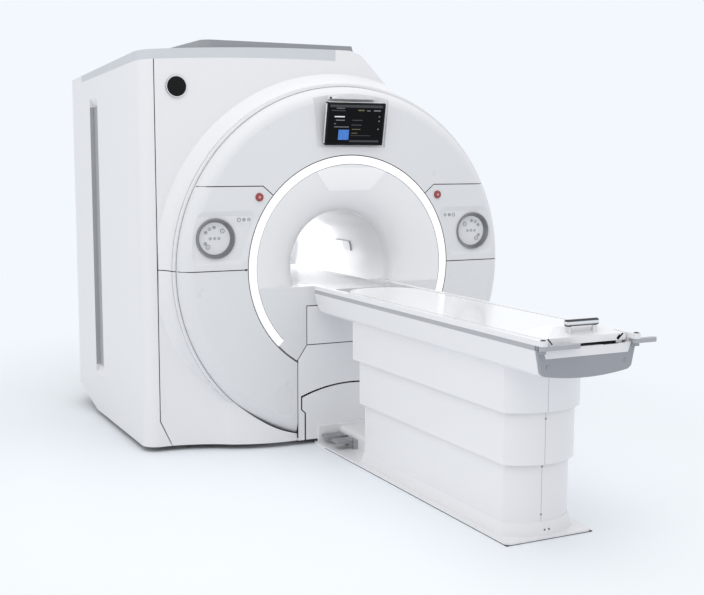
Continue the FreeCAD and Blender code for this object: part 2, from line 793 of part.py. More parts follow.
def upper_seam(sign):
    """The seam from the panels' edge to the ring, over a control panel."""
    return (
        (sign * PANEL_R, UPPER_SEAM_Z),
        (sign * UPPER_SEAM_X, UPPER_SEAM_Z),
        (sign * RING_SEAM_X, RING_SEAM_Z),
    )


def cut_region(lines):
    """A front-view region as a block that spans the whole depth."""
    return raised(wire(front(-BODY_FRONT), *lines), (0, 2 * BODY_DEPTH, 0))


def upper_region():
    left = upper_seam(-1)
    right = upper_seam(1)
    return cut_region([(-BIG, UPPER_SEAM_Z), *left[1:], (0, AXIS_Z), *reversed(right[1:]),
                       (BIG, UPPER_SEAM_Z), (BIG, BIG), (-BIG, BIG)])


PANEL_GROOVES = [
    *groove_front(upper_seam(-1), GROOVE_DEPTH, 0),
    *groove_front(upper_seam(1), GROOVE_DEPTH, 0),
    *groove_front(((-PANEL_R, MID_SEAM_Z), (-RING_R, MID_SEAM_Z)), GROOVE_DEPTH, 0),
    *groove_front(((PANEL_R, MID_SEAM_Z), (RING_R, MID_SEAM_Z)), GROOVE_DEPTH, 0),
    *groove_front(((-LOWER_SEAM_X, LOWER_SEAM_Z + 40), (-LOWER_SEAM_X, 0)), GROOVE_DEPTH, 0),
    *groove_front(((LOWER_SEAM_X, LOWER_SEAM_Z + 40), (LOWER_SEAM_X, 0)), GROOVE_DEPTH, 0),
]


def niche():
    """The display's shallow niche, as a block to cut away."""
    return raised(
        wire(
            front(-1),
            (-NICHE_HALF_LOW, NICHE_LOW_Z),
            (-NICHE_HALF_TOP, NICHE_HIGH_Z),
            (NICHE_HALF_TOP, NICHE_HIGH_Z),
            (NICHE_HALF_LOW, NICHE_LOW_Z),
        ),
        (0, NICHE_DEPTH + 1, 0),
    )


def upper_front_panel():
    """Panel over the bore, with the display's niche."""
    part = DISC.common(upper_region()).cut(niche())
    return part.cut(PANEL_GROOVES)


def scoop_rim(inset, y):
    """Outline of the dish round the left dial, drawn in and laid at a depth."""
    block = raised(
        wire(
            front(-BODY_FRONT),
            (-SCOOP_OUT_X + inset, SCOOP_LOW_Z + inset),
            (-SCOOP_OUT_X + inset, SCOOP_HIGH_Z - inset),
            (-SCOOP_TOP_X - inset, SCOOP_HIGH_Z - inset),
            (-SCOOP_FOOT_X - inset, SCOOP_LOW_Z + inset),
        ),
        (0, 2 * BODY_FRONT, 0),
    )
    corners = [e for e in block.Edges if e.BoundBox.YLength > BODY_FRONT]
    return block.makeFillet(SCOOP_ROUND - inset, corners).slice(V(0, 1, 0), behind(y))[0]


def left_control_panel():
    """Panel beside the bore that carries a control dial and a stop button."""
    part = DISC.cut(upper_region()).common(box((-BIG, 0), (-BIG, BIG), (MID_SEAM_Z, BIG)))
    scoop = Part.makeLoft([scoop_rim(0, 0), scoop_rim(SCOOP_SLOPE, SCOOP_DEPTH)], True, True)
    holes = [
        rod((-DIAL_X, behind(-1), DIAL_Z), (0, 1, 0), DIAL_R + PANEL_CLEAR, PANEL_T + 2),
        rod((-STOP_X, behind(-1), STOP_Z), (0, 1, 0), STOP_R + STOP_COLLAR_W, PANEL_T + 2),
    ]
    return part.cut([scoop, *holes, *PANEL_GROOVES])


def left_lower_panel():
    part = DISC.common(box((-BIG, -LOWER_SEAM_X), (-BIG, BIG), (-BIG, MID_SEAM_Z)))
    part = part.common(inside_z(COVER_BOTTOM, BIG)).cut(toe_lips(RIM_LAND))
    return part.cut(PANEL_GROOVES)


def light_ring():
    """Lit ring round the flare, open at the bottom."""
    whole = ring(RING_R - RING_W, RING_R, 0, PANEL_T)
    return whole.cut(ring_gap_wedge())


def ring_gap_wedge():
    """The sector below the ring's two ends."""
    angle = math.radians(RING_END_ANGLE)
    x = BIG * math.cos(angle)
    z = AXIS_Z - BIG * math.sin(angle)
    return cut_region([(0, AXIS_Z), (x, z), (BIG, -BIG), (-BIG, -BIG), (-x, z)])


# ---- flare, bore and bridge -----------------------------------------------------------
def flare_curve(offset):
    """Points down the flare, from the ring to the throat."""
    start = V(RING_R - RING_W - RING_GAP / 2, behind(2), AXIS_Z)
    end = V(BORE_R, behind(THROAT_Y), AXIS_Z)
    poles = [
        start + V(0, offset, 0),
        V(FLARE_POLE_OUT, behind(FLARE_POLE_OUT_Y) + offset, AXIS_Z),
        V(BORE_R + offset, behind(FLARE_POLE_IN_Y), AXIS_Z),
        end + V(offset, 0, 0),
    ]
    curve = Part.BezierCurve()
    curve.setPoles(poles)
    return curve.toShape()


def flare_band(low, high):
    """A wall along the flare's curve, between two depths under its face."""
    a = flare_curve(low)
    b = flare_curve(high)
    ends = [Part.makeLine(a.Vertexes[0].Point, b.Vertexes[0].Point),
            Part.makeLine(a.Vertexes[-1].Point, b.Vertexes[-1].Point)]
    return spun(Part.Wire(Part.__sortEdges__([a, b, *ends])))


def flare_void():
    """The open space inside the flare, as a solid."""
    curve = flare_curve(0)
    first = curve.Vertexes[0].Point
    last = curve.Vertexes[-1].Point
    edges = [
        curve,
        Part.makeLine(last, V(0, last.y, AXIS_Z)),
        Part.makeLine(V(0, last.y, AXIS_Z), V(0, first.y, AXIS_Z)),
        Part.makeLine(V(0, first.y, AXIS_Z), first),
    ]
    return spun(Part.Wire(Part.__sortEdges__(edges)))


def front_flare():
    """Flared mouth of the bore, with the flange that the ring and panels sit on."""
    flange = ring(RING_R - RING_W - FLANGE_LAP, RING_R + FLANGE_LAP, PANEL_T, PANEL_T + COVER_T)
    cone = flare_band(0, FLARE_T + PANEL_T - 2).common(inside_z(SHELF_Z, BIG))
    return joined([cone, flange])


def positioning_light_panel():
    """Thin window panel at the top of the flare."""
    skin = flare_band(-LIGHT_T, 0)
    region = cut_region([(-LIGHT_TOP_HALF, AXIS_Z + LIGHT_TOP), (LIGHT_TOP_HALF, AXIS_Z + LIGHT_TOP),
                         (LIGHT_LOW_HALF, AXIS_Z + LIGHT_LOW), (-LIGHT_LOW_HALF, AXIS_Z + LIGHT_LOW)])
    return skin.common(region)


def bore_tube():
    return ring(BORE_R, BORE_R + BORE_T, THROAT_Y, BODY_DEPTH - REAR_FLARE)


def rear_flare():
    """Conical mouth of the bore at the rear, in an upper and a lower half moulding."""
    y0 = BODY_DEPTH - REAR_FLARE
    whole = spun(wire(
        turned,
        (BORE_R + REAR_STEP, y0),
        ((BORE_R + REAR_BELLY, y0 + REAR_FLARE * 0.6), (REAR_MOUTH_R, BODY_DEPTH)),
        (REAR_MOUTH_R, BODY_DEPTH - COVER_T),
        ((BORE_R + REAR_BELLY + REAR_WALL, y0 + REAR_FLARE * 0.5), (BORE_R + REAR_STEP + BORE_T, y0)),
    ))
    return Part.makeCompound([whole.common(inside_z(AXIS_Z, BIG)), whole.common(inside_z(-BIG, AXIS_Z))])


def bore_bridge():
    """Bridge along the bore that carries the cradle."""
    fill = rod((0, behind(THROAT_Y), AXIS_Z), (0, 1, 0), BORE_R, BODY_DEPTH - REAR_FLARE - THROAT_Y)
    deck = fill.common(inside_z(BRIDGE_Z - BRIDGE_T, BRIDGE_Z))
    return deck.cut(box((-CHANNEL_HALF, CHANNEL_HALF), (-BIG, BIG), (CHANNEL_Z, BIG)))


def bridge_region():
    """Front view of the shelf and apron under the flare."""
    wide = rod((0, behind(0), AXIS_Z), (0, 1, 0), RING_R - RING_GAP, BODY_DEPTH)
    wide = wide.common(ring_gap_wedge())
    narrow = rod((0, behind(0), AXIS_Z), (0, 1, 0), RING_R - RING_W - RING_GAP / 2, BODY_DEPTH)
    both = wide.fuse(narrow).common(inside_z(-BIG, SHELF_Z))
    above_bay = cut_region([
        (-BIG, SHELF_Z), (-BIG, LOWER_SEAM_Z), (-LOWER_SEAM_X, LOWER_SEAM_Z),
        (-BAY_HALF, BAY_BOTTOM_Z), (-BAY_HALF, BAY_TOP_Z), (BAY_HALF, BAY_TOP_Z),
        (BAY_HALF, BAY_BOTTOM_Z), (LOWER_SEAM_X, LOWER_SEAM_Z), (BIG, LOWER_SEAM_Z), (BIG, SHELF_Z),
    ])
    return both.common(above_bay)


def bridge_cover():
    """Moulded shelf and apron that close the lower part of the flare."""
    apron = bridge_region().common(box((-BIG, BIG), (-BIG, behind(PANEL_T)), (-BIG, BIG)))
    shelf = flare_void().common(inside_z(SHELF_Z - SHELF_T, SHELF_Z))
    channel = box((-CHANNEL_HALF - COVER_T, CHANNEL_HALF + COVER_T),
                  (behind(0), behind(THROAT_Y)), (CHANNEL_Z - COVER_T, SHELF_Z))
    part = joined([apron, shelf, channel.common(flare_fill())])
    part = part.cut(box((-CHANNEL_HALF, CHANNEL_HALF), (-BIG, behind(THROAT_Y)), (CHANNEL_Z, BIG)))
    return part.cut(groove_front(
        ((-LOWER_SEAM_X, LOWER_SEAM_Z), (-BAY_HALF, BAY_BOTTOM_Z), (-BAY_HALF, BAY_TOP_Z),
         (BAY_HALF, BAY_TOP_Z), (BAY_HALF, BAY_BOTTOM_Z), (LOWER_SEAM_X, LOWER_SEAM_Z)),
        GROOVE_DEPTH, 0))


def flare_fill():
    """A solid as wide as the bore behind the flare's mouth."""
    return rod((0, behind(0), AXIS_Z), (0, 1, 0), BORE_R, THROAT_Y)


BAY_GROOVES = groove_front(
    ((-LOWER_SEAM_X, LOWER_SEAM_Z), (-BAY_HALF, BAY_BOTTOM_Z), (BAY_HALF, BAY_BOTTOM_Z),
     (LOWER_SEAM_X, LOWER_SEAM_Z)), GROOVE_DEPTH, 0)
BAY_SIDES = groove_front(((-BAY_HALF, BAY_BOTTOM_Z), (-BAY_HALF, BAY_TOP_Z), (BAY_HALF, BAY_TOP_Z),
                          (BAY_HALF, BAY_BOTTOM_Z)), GROOVE_DEPTH, 0)


def docking_panel_upper():
    """Panel straight under the bridge shelf."""
    plate = box((-BAY_HALF, BAY_HALF), (behind(0), behind(PANEL_T)), (BAY_BOTTOM_Z, BAY_TOP_Z))
    return plate.cut([*BAY_GROOVES, *BAY_SIDES])


def flap_outline(grow):
    """Front view of the docking flap, grown by a gap."""
    return wire(
        front(0),
        (-FLAP_FOOT_X - grow, COVER_BOTTOM),
        (-FLAP_FOOT_X - grow, FLAP_FOOT_TOP_Z),
        (-FLAP_SIDE_X - grow, FLAP_NOTCH_Z),
        (-FLAP_SIDE_X - grow, FLAP_SIDE_Z + grow),
        ((0, FLAP_APEX_Z + grow), (FLAP_SIDE_X + grow, FLAP_SIDE_Z + grow)),
        (FLAP_SIDE_X + grow, FLAP_NOTCH_Z),
        (FLAP_FOOT_X + grow, FLAP_FOOT_TOP_Z),
        (FLAP_FOOT_X + grow, COVER_BOTTOM),
    )


def docking_panel_lower():
    """Wide panel of the docking bay, over and beside the flap."""
    plate = raised(
        wire(
            front(0),
            (-LOWER_SEAM_X, COVER_BOTTOM), (-LOWER_SEAM_X, LOWER_SEAM_Z),
            (-BAY_HALF, BAY_BOTTOM_Z), (BAY_HALF, BAY_BOTTOM_Z),
            (LOWER_SEAM_X, LOWER_SEAM_Z), (LOWER_SEAM_X, COVER_BOTTOM),
        ),
        (0, PANEL_T, 0),
    )
    flap_space = Part.Face(flap_outline(FLAP_GAP)).extrude(V(0, PANEL_T, 0))
    return plate.cut([flap_space, *BAY_GROOVES, *PANEL_GROOVES])


def docking_flap():
    """Flap over the table's docking port, with the ledge it rests against behind it."""
    flap = raised(flap_outline(0), (0, PANEL_T, 0))
    ledge = Part.Face(flap_outline(FLAP_GAP * 2)).extrude(V(0, COVER_T, 0))
    ledge.translate(V(0, PANEL_T, 0))
    return joined([flap, ledge])


def bore_wall_unit():
    """Small air and lamp unit on the right wall of the bore."""
    band = ring(BORE_R - UNIT_T, BORE_R, UNIT_Y0, UNIT_Y1)
    return band.common(box((0, BIG), (-BIG, BIG), (UNIT_LOW_Z, UNIT_HIGH_Z)))


# ---- controls -------------------------------------------------------------------------
def left_dial_bezel():
    """Conical metal bezel sunk into the control panel."""
    section = wire(
        lambda r, y: V(r, behind(y), 0),
        (KEYPAD_R, KEYPAD_DEPTH),
        (KEYPAD_R + 2, KEYPAD_DEPTH - 2),
        (DIAL_R - 6, -DIAL_PROUD),
        (DIAL_R, -DIAL_PROUD + 2),
        (DIAL_R, PANEL_T),
        (DIAL_R + DIAL_FLANGE, PANEL_T),
        (DIAL_R + DIAL_FLANGE, PANEL_T + 4),
        (KEYPAD_R + 8, KEYPAD_DEPTH + 6),
        (KEYPAD_R, KEYPAD_DEPTH + 6),
    )
    part = Part.Face(section).revolve(V(0, 0, 0), V(0, 1, 0), 360)
    part.translate(V(-DIAL_X, 0, DIAL_Z))
    return part.cut(left_control_panel())


def key_places():
    """Places of the membrane keys on the left dial, from its centre."""
    arc = [(angle, KEY_ARC_R) for angle in (146, 120, 93, 66, 42, 207, 230)]
    places = [(r * math.cos(math.radians(a)), r * math.sin(math.radians(a))) for a, r in arc]
    return places + [(-KEY_ROW, 0), (0, 0), (KEY_ROW, 0)]


def left_keypad():
    """Round membrane keypad with slightly raised keys."""
    disc = rod((-DIAL_X, behind(KEYPAD_DEPTH), DIAL_Z), (0, 1, 0), KEYPAD_R, 6)
    keys = [
        rod((-DIAL_X + x, behind(KEYPAD_DEPTH - KEY_RAISE), DIAL_Z + z), (0, 1, 0), KEY_R, KEY_RAISE + 1)
        for x, z in key_places()
    ]
    return joined([disc, *keys])


def left_key_strip():
    """Small oblong membrane strip beside the dial."""
    return rounded_box(
        (-BADGE_X - BADGE_W / 2, -BADGE_X + BADGE_W / 2),
        (behind(SCOOP_DEPTH - BADGE_T), behind(SCOOP_DEPTH)),
        (BADGE_Z - BADGE_H / 2, BADGE_Z + BADGE_H / 2),
        BADGE_H / 2 - 0.5,
        (0, 1, 0),
    )


def keypads():
    """Both round keypads and both oblong key strips."""
    return Part.makeCompound([pair(left_keypad()), pair(left_key_strip())])


def left_stop_collar():
    """Cup in the panel that guides the stop button."""
    outer = rod((-STOP_X, behind(-COLLAR_OUT), STOP_Z), (0, 1, 0), STOP_R + STOP_COLLAR_W,
                COLLAR_OUT + COLLAR_DEEP)
    bore = rod((-STOP_X, behind(-COLLAR_OUT - 1), STOP_Z), (0, 1, 0), STOP_R + PANEL_CLEAR,
               COLLAR_OUT + 1 + COLLAR_FLOOR)
    return outer.cut(bore)


def left_stop_button():
    """Red stop button, rounded at its face, that travels into its collar."""
    length = STOP_OUT + COLLAR_FLOOR - STOP_TRAVEL - PANEL_CLEAR
    button = rod((-STOP_X, behind(-STOP_OUT), STOP_Z), (0, 1, 0), STOP_R, length)
    rim = [e for e in button.Edges if e.BoundBox.YLength < 0.1 and e.BoundBox.YMin < behind(1 - STOP_OUT)]
    return button.makeFillet(STOP_ROUND, rim)


def round_badge():
    """Blank round badge on the front cover."""
    face = BODY_FRONT - ROUND_BADGE_T
    disc = rod((-ROUND_BADGE_X, behind(face), ROUND_BADGE_Z), (0, 1, 0), ROUND_BADGE_R, ROUND_BADGE_T)
    dish = rod((-ROUND_BADGE_X, behind(face - 1), ROUND_BADGE_Z), (0, 1, 0),
               ROUND_BADGE_R - ROUND_BADGE_EDGE, 1 + ROUND_BADGE_DISH)
    return disc.cut(dish)


# ---- display --------------------------------------------------------------------------
def tilted(shape):
    shape.rotate(V(0, behind(-SCREEN_OUT), SCREEN_Z), V(1, 0, 0), SCREEN_TILT)
    return shape


def screen_place(x, y, z):
    """A point given on the screen, with y behind its glass, laid at its tilt."""
    lean = math.radians(SCREEN_TILT)
    return V(x, behind(-SCREEN_OUT) + y * math.cos(lean) - z * math.sin(lean),
             SCREEN_Z + y * math.sin(lean) + z * math.cos(lean))


PIVOT = screen_place(0, SCREEN_T + PIVOT_BACK, PIVOT_UP)


def display_housing():
    """Black case of the display, with the two lugs that turn on its pin."""
    face = behind(-SCREEN_OUT)
    case = rounded_box((-SCREEN_W / 2, SCREEN_W / 2), (face, face + SCREEN_T),
                       (SCREEN_Z - SCREEN_H / 2, SCREEN_Z + SCREEN_H / 2), CASE_EDGE, (0, 1, 0))
    recess = screen_window(face - 1, face + GLASS_SINK + GLASS_T)
    case = tilted(case.cut(recess))
    lugs = []
    for x in LUG_XS:
        lug = rod((x, PIVOT.y, PIVOT.z), (1, 0, 0), LUG_R, LUG_W)
        arm = tilted(box((x, x + LUG_W), (face + SCREEN_T - 1, face + SCREEN_T + PIVOT_BACK),
                         (SCREEN_Z, SCREEN_Z + 2 * PIVOT_UP)))
        lugs += [lug, arm]
    pin_hole = rod((-BIG / 2, PIVOT.y, PIVOT.z), (1, 0, 0), SCREEN_PIN_R + PIN_CLEAR, BIG)
    return joined([case, *lugs]).cut(pin_hole)


def screen_window(y0, y1):
    """The glass's place in the case, between two depths, before it is tilted."""
    half_w = SCREEN_W / 2 - GLASS_INSET
    half_h = SCREEN_H / 2 - GLASS_INSET
    return box((-half_w, half_w), (y0, y1), (SCREEN_Z - half_h, SCREEN_Z + half_h))


def display_glass():
    face = behind(-SCREEN_OUT) + GLASS_SINK
    return tilted(screen_window(face, face + GLASS_T))


def display_bracket():
    """Bracket in the niche, with the display's pin and the pale cap over it."""
    floor = behind(NICHE_DEPTH)
    foot = box((-FOOT_HALF, FOOT_HALF), (floor - FOOT_T, floor), (PIVOT.z - FOOT_UP, PIVOT.z + FOOT_UP))
    ears = []
    for x in EAR_XS:
        eye = rod((x, PIVOT.y, PIVOT.z), (1, 0, 0), EAR_R, EAR_W)
        arm = box((x, x + EAR_W), (PIVOT.y, floor), (PIVOT.z - EAR_R, PIVOT.z + EAR_R))
        ears += [eye, arm]
    pin = rod((-PIN_HALF, PIVOT.y, PIVOT.z), (1, 0, 0), SCREEN_PIN_R, 2 * PIN_HALF)
    return joined([foot, *ears, pin, display_cap()])


def display_cap():
    """Pale curved hood that shows over the top edge of the display."""
    outline = wire(
        front(-CAP_OUT),
        (-CAP_HALF, CAP_Z),
        ((0, CAP_Z + CAP_RISE), (CAP_HALF, CAP_Z)),
    )
    return raised(outline, (0, CAP_OUT + NICHE_DEPTH, 0))


# ---- magnet and frame -----------------------------------------------------------------
def cryostat_vessel():
    """Helium vessel of the superconducting magnet."""
    y0 = BODY_DEPTH / 2 - VESSEL_HALF
    return ring(VESSEL_BORE_R, VESSEL_R, y0, y0 + 2 * VESSEL_HALF)


def gradient_coil():
    y0 = BODY_DEPTH / 2 - VESSEL_HALF
    return ring(GRADIENT_R, VESSEL_BORE_R - COIL_CLEAR, y0, y0 + 2 * VESSEL_HALF)


def body_coil():
    half = VESSEL_HALF - BODY_COIL_END
    y0 = BODY_DEPTH / 2 - half
    return ring(BORE_R + BORE_T + COIL_CLEAR, GRADIENT_R - COIL_CLEAR, y0, y0 + 2 * half)


def cold_head():
    """Cryocooler that stands on the vessel, under the turret cover."""
    z0 = AXIS_Z + math.sqrt(VESSEL_R ** 2 - COLD_HEAD_X ** 2) - COLD_SINK
    z1 = COLD_HEAD_TOP - COLD_MOTOR_H
    neck = rod((-COLD_HEAD_X, COLD_HEAD_Y, z0), (0, 0, 1), COLD_NECK_R, z1 - z0)
    motor = rod((-COLD_HEAD_X, COLD_HEAD_Y, z1), (0, 0, 1), COLD_MOTOR_R, COLD_MOTOR_H)
    drum = rod((0, -BIG / 2, AXIS_Z), (0, 1, 0), VESSEL_R, BIG)
    return joined([neck, motor]).cut(drum)


def base_frame():
    """Welded steel frame under the magnet: two rails, three cross members and four saddles."""
    rails = [
        box((s * BASE_RAIL_X - BASE_RAIL_W / 2, s * BASE_RAIL_X + BASE_RAIL_W / 2),
            (-VESSEL_HALF, VESSEL_HALF), (0, BASE_RAIL_H))
        for s in (-1, 1)
    ]
    crosses = [
        box((-BASE_RAIL_X, BASE_RAIL_X), (y - BASE_CROSS_W / 2, y + BASE_CROSS_W / 2), (0, BASE_CROSS_H))
        for y in (-ANCHOR_Y, 0, ANCHOR_Y)
    ]
    frame = joined([*rails, *crosses])
    holes = [
        rod((s * BASE_RAIL_X, y, -1), (0, 0, 1), ANCHOR_R, BASE_RAIL_H + 2)
        for s in (-1, 1) for y in (-ANCHOR_Y, ANCHOR_Y)
    ]
    return joined([frame.cut(holes), *magnet_saddles()])


def magnet_saddles():
    """Saddle blocks on the base rails that carry the vessel."""
    drum = rod((0, -BIG / 2, AXIS_Z), (0, 1, 0), VESSEL_R, BIG)
    saddles = []
    for s in (-1, 1):
        for y in (-SADDLE_Y, SADDLE_Y):
            block = box((s * BASE_RAIL_X - BASE_RAIL_W / 2, s * BASE_RAIL_X + BASE_RAIL_W / 2),
                        (y - SADDLE_W / 2, y + SADDLE_W / 2), (BASE_RAIL_H, AXIS_Z - VESSEL_R / 2))
            saddles.append(block.cut(drum).common(box((-BIG, BIG), (-BIG, BIG), (0, SADDLE_TOP))))
    return saddles


def cover_frame():
    """Aluminium ring behind the round panels, open at the dials, on stand-offs from the magnet."""
    plate = ring(COVER_RING_IN, COVER_RING_OUT, PANEL_T, PANEL_T + COVER_T)
    length = BODY_DEPTH / 2 - VESSEL_HALF - PANEL_T - COVER_T
    posts = []
    pitch = 360 / STANDOFFS
    for step in range(STANDOFFS):
        angle = math.radians(pitch * (step + 0.5))
        r = (COVER_RING_IN + COVER_RING_OUT) / 2
        posts.append(rod((r * math.cos(angle), behind(PANEL_T + COVER_T), AXIS_Z + r * math.sin(angle)),
                         (0, 1, 0), STANDOFF_R, length))
    dial_room = DIAL_R + DIAL_FLANGE + COVER_T
    dials = [rod((s * DIAL_X, behind(0), DIAL_Z), (0, 1, 0), dial_room, BODY_FRONT) for s in (-1, 1)]
    port = raised(flap_outline(3 * FLAP_GAP), (0, BODY_FRONT, 0))
    return joined([plate, *posts]).cut([*dials, port])


# ---- patient table --------------------------------------------------------------------
def table_y(distance):
    """A place along the table, measured forward from the front face."""
    return FACE_Y - distance


STRIP_Z = TABLE_TOP_Z - RIM_H - STRIP_H


def skirt_section(inset, at):
    """Cross-section of the table's body, drawn in by a wall."""
    def lay(x, z):
        return V(x, table_y(at), z)
    half = TABLE_HALF - 1 - inset
    low = SKIRT_LOW_HALF - inset
    bottom = SKIRT_BOTTOM_Z + inset
    bend = SKIRT_BEND_Z + inset
    round_x = low - SKIRT_ROUND
    round_z = bend - SKIRT_ROUND / 3
    return wire(
        lay,
        (-half, STRIP_Z),
        (-low - 3, bend + SKIRT_ROUND / 2),
        ((-low + 3, bend + 3), (-round_x, round_z)),
        ((0, bottom), (round_x, round_z)),
        ((low - 3, bend + 3), (low + 3, bend + SKIRT_ROUND / 2)),
        (half, STRIP_Z),
    )


def head_corner():
    """The stuff beyond the rounded lower corner at the table's head end."""
    y0 = -TABLE_HEAD
    square = wire(
        side(-BIG / 2),
        (y0 + 1, HEAD_CORNER_Z),
        (y0, HEAD_CORNER_Z),
        ((y0 - HEAD_ROUND * 0.36, HEAD_CORNER_Z - HEAD_ROUND / 2),
         (y0 - HEAD_ROUND, HEAD_CORNER_Z - HEAD_ROUND * 0.86)),
        (y0 - HEAD_ROUND * 1.6, SKIRT_BOTTOM_Z - HEAD_ROUND),
        (y0 + 1, SKIRT_BOTTOM_Z - HEAD_ROUND),
    )
    return raised(square, (BIG, 0, 0))


def column_plan(half, end, rear, z):
    """Plan of a column cover: straight sides and a bowed foot end."""
    def lay(x, distance):
        return V(x, table_y(distance), z)
    return wire(
        lay,
        (-half, rear),
        (-half, end),
        ((0, end + COLUMN_BOW), (half, end)),
        (half, rear),
    )


def column_cover(half, end, rear, low, high):
    outside = raised(column_plan(half, end, rear, low), (0, 0, high - low))
    inside = raised(column_plan(half - COLUMN_T, end - COLUMN_T / 2, rear + COLUMN_T, low),
                    (0, 0, high - low))
    return outside.cut(inside)


def table_skirt():
    """White moulded body of the table, open over the column, with the trough's end frame."""
    length = TABLE_FOOT - TABLE_HEAD
    outside = raised(skirt_section(0, TABLE_HEAD), (0, -length, 0)).cut(head_corner())
    inner = raised(skirt_section(SKIRT_T, TABLE_HEAD), (0, -length, 0))
    corner = head_corner()
    corner.translate(V(0, -SKIRT_T, SKIRT_T))
    inner = inner.cut(corner).common(
        box((-BIG, BIG), (table_y(TABLE_FOOT - SKIRT_T), table_y(TABLE_HEAD + SKIRT_T)), (-BIG, BIG)))
    opening = raised(column_plan(UPPER_HALF, UPPER_END, UPPER_REAR, 0), (0, 0, STRIP_Z - DECK_T))
    return joined([outside.cut(inner).cut(opening), end_channel()])


def table_deck():
    """Structural plate across the table with the cradle's guide strips."""
    plate = raised(skirt_section(SKIRT_T, TABLE_HEAD + SKIRT_T),
                   (0, TABLE_HEAD + 2 * SKIRT_T - TABLE_FOOT, 0))
    plate = plate.common(inside_z(STRIP_Z - DECK_T, STRIP_Z))
    slot_end = BELT_END - PULLEY_R - BELT_SLOT_CLEAR
    belt_slot = box((-BELT_X - BELT_W / 2 - BELT_SIDE_CLEAR, -BELT_X + BELT_W / 2 + BELT_SIDE_CLEAR),
                    (table_y(TABLE_FOOT - slot_end), table_y(TABLE_HEAD + slot_end)), (0, BIG))
    shafts = [pulley_shaft(table_y(TABLE_HEAD + BELT_END)), pulley_shaft(table_y(TABLE_FOOT - BELT_END))]
    return joined([plate.cut([belt_slot, *shafts]), *cradle_guides()])


def cradle_guides():
    """Two low-friction guide strips on the deck."""
    strips = [
        box((s * GUIDE_X - GUIDE_W / 2, s * GUIDE_X + GUIDE_W / 2),
            (table_y(TABLE_FOOT - SKIRT_T), table_y(TABLE_HEAD + SKIRT_T)), (STRIP_Z, CHANNEL_Z))
        for s in (-1, 1)
    ]
    return strips


def belt_loop(x, width, grow):
    """A loop round the two pulleys, in plan a thin strip."""
    z = CHANNEL_Z - 1 - BELT_T - PULLEY_R
    y0 = table_y(TABLE_HEAD + BELT_END)
    y1 = table_y(TABLE_FOOT - BELT_END)
    r = PULLEY_R + grow
    ends = [rod((x - width / 2, y, z), (1, 0, 0), r, width) for y in (y0, y1)]
    middle = box((x - width / 2, x + width / 2), (y1, y0), (z - r, z + r))
    return joined([*ends, middle])


def cradle_drive():
    """Belt that draws the cradle, round its two pulleys."""
    belt = belt_loop(-BELT_X, BELT_W, BELT_T).cut(belt_loop(-BELT_X, BELT_W + 2, 0))
    return Part.makeCompound([belt, *belt_pulleys()])


def pulley_shaft(y):
    """Shaft of one pulley, held at both ends in the deck."""
    z = CHANNEL_Z - 1 - BELT_T - PULLEY_R
    reach = BELT_W / 2 + SHAFT_HOLD
    return rod((-BELT_X - reach, y, z), (1, 0, 0), PULLEY_SHAFT_R, 2 * reach)


def belt_pulleys():
    """The belt's two pulleys, each in one with its shaft."""
    z = CHANNEL_Z - 1 - BELT_T - PULLEY_R
    pieces = []
    for y in (table_y(TABLE_HEAD + BELT_END), table_y(TABLE_FOOT - BELT_END)):
        wheel = rod((-BELT_X - BELT_W / 2, y, z), (1, 0, 0), PULLEY_R, BELT_W)
        pieces.append(joined([wheel, pulley_shaft(y)]))
    return pieces


def side_strips():
    """Grey extrusions along both sides of the table."""
    strip = box((-TABLE_HALF, -TABLE_HALF + STRIP_T), (table_y(TABLE_FOOT), table_y(TABLE_HEAD)),
                (STRIP_Z, STRIP_Z + STRIP_H))
    return pair(strip)


def table_rims():
    """White top rims beside the cradle, with lugs over the handle pivots."""
    rims = []
    for s in (-1, 1):
        x0, x1 = sorted((s * TABLE_HALF, s * (TABLE_HALF - RIM_W)))
        in0, in1 = sorted((s * (TABLE_HALF - STRIP_T), s * (TABLE_HALF - RIM_W)))
        top = box((x0, x1), (table_y(TABLE_FOOT), table_y(TABLE_HEAD)), (TABLE_TOP_Z - RIM_H, TABLE_TOP_Z))
        leg = box((in0, in1), (table_y(TABLE_FOOT), table_y(TABLE_HEAD)), (STRIP_Z, TABLE_TOP_Z - RIM_H))
        lug = rounded_box((x0, x1), (table_y(TABLE_FOOT + HANDLE_OUT + 17), table_y(TABLE_FOOT - 40)),
                          (TABLE_TOP_Z - RIM_H, TABLE_TOP_Z), 16, (0, 0, 1))
        rim = joined([top, leg, lug])
        hole = rod((s * HANDLE_X, table_y(TABLE_FOOT + HANDLE_OUT), 0), (0, 0, 1), HANDLE_PIN_R, BIG)
        rims.append(rim.cut(hole))
    return Part.makeCompound(rims)


def end_channel():
    """White frame round the end of the cradle's trough."""
    return raised(
        wire(
            lambda x, z: V(x, table_y(TABLE_FOOT), z),
            (-CHANNEL_END_TOP, STRIP_Z + 5), (-CHANNEL_END_LOW, CHANNEL_END_Z),
            (CHANNEL_END_LOW, CHANNEL_END_Z), (CHANNEL_END_TOP, STRIP_Z + 5),
        ),
        (0, -END_PANEL_T - 2, 0),
    ).cut(box((-TROUGH_HALF, TROUGH_HALF), (-BIG, BIG), (STRIP_Z + 2, BIG)))


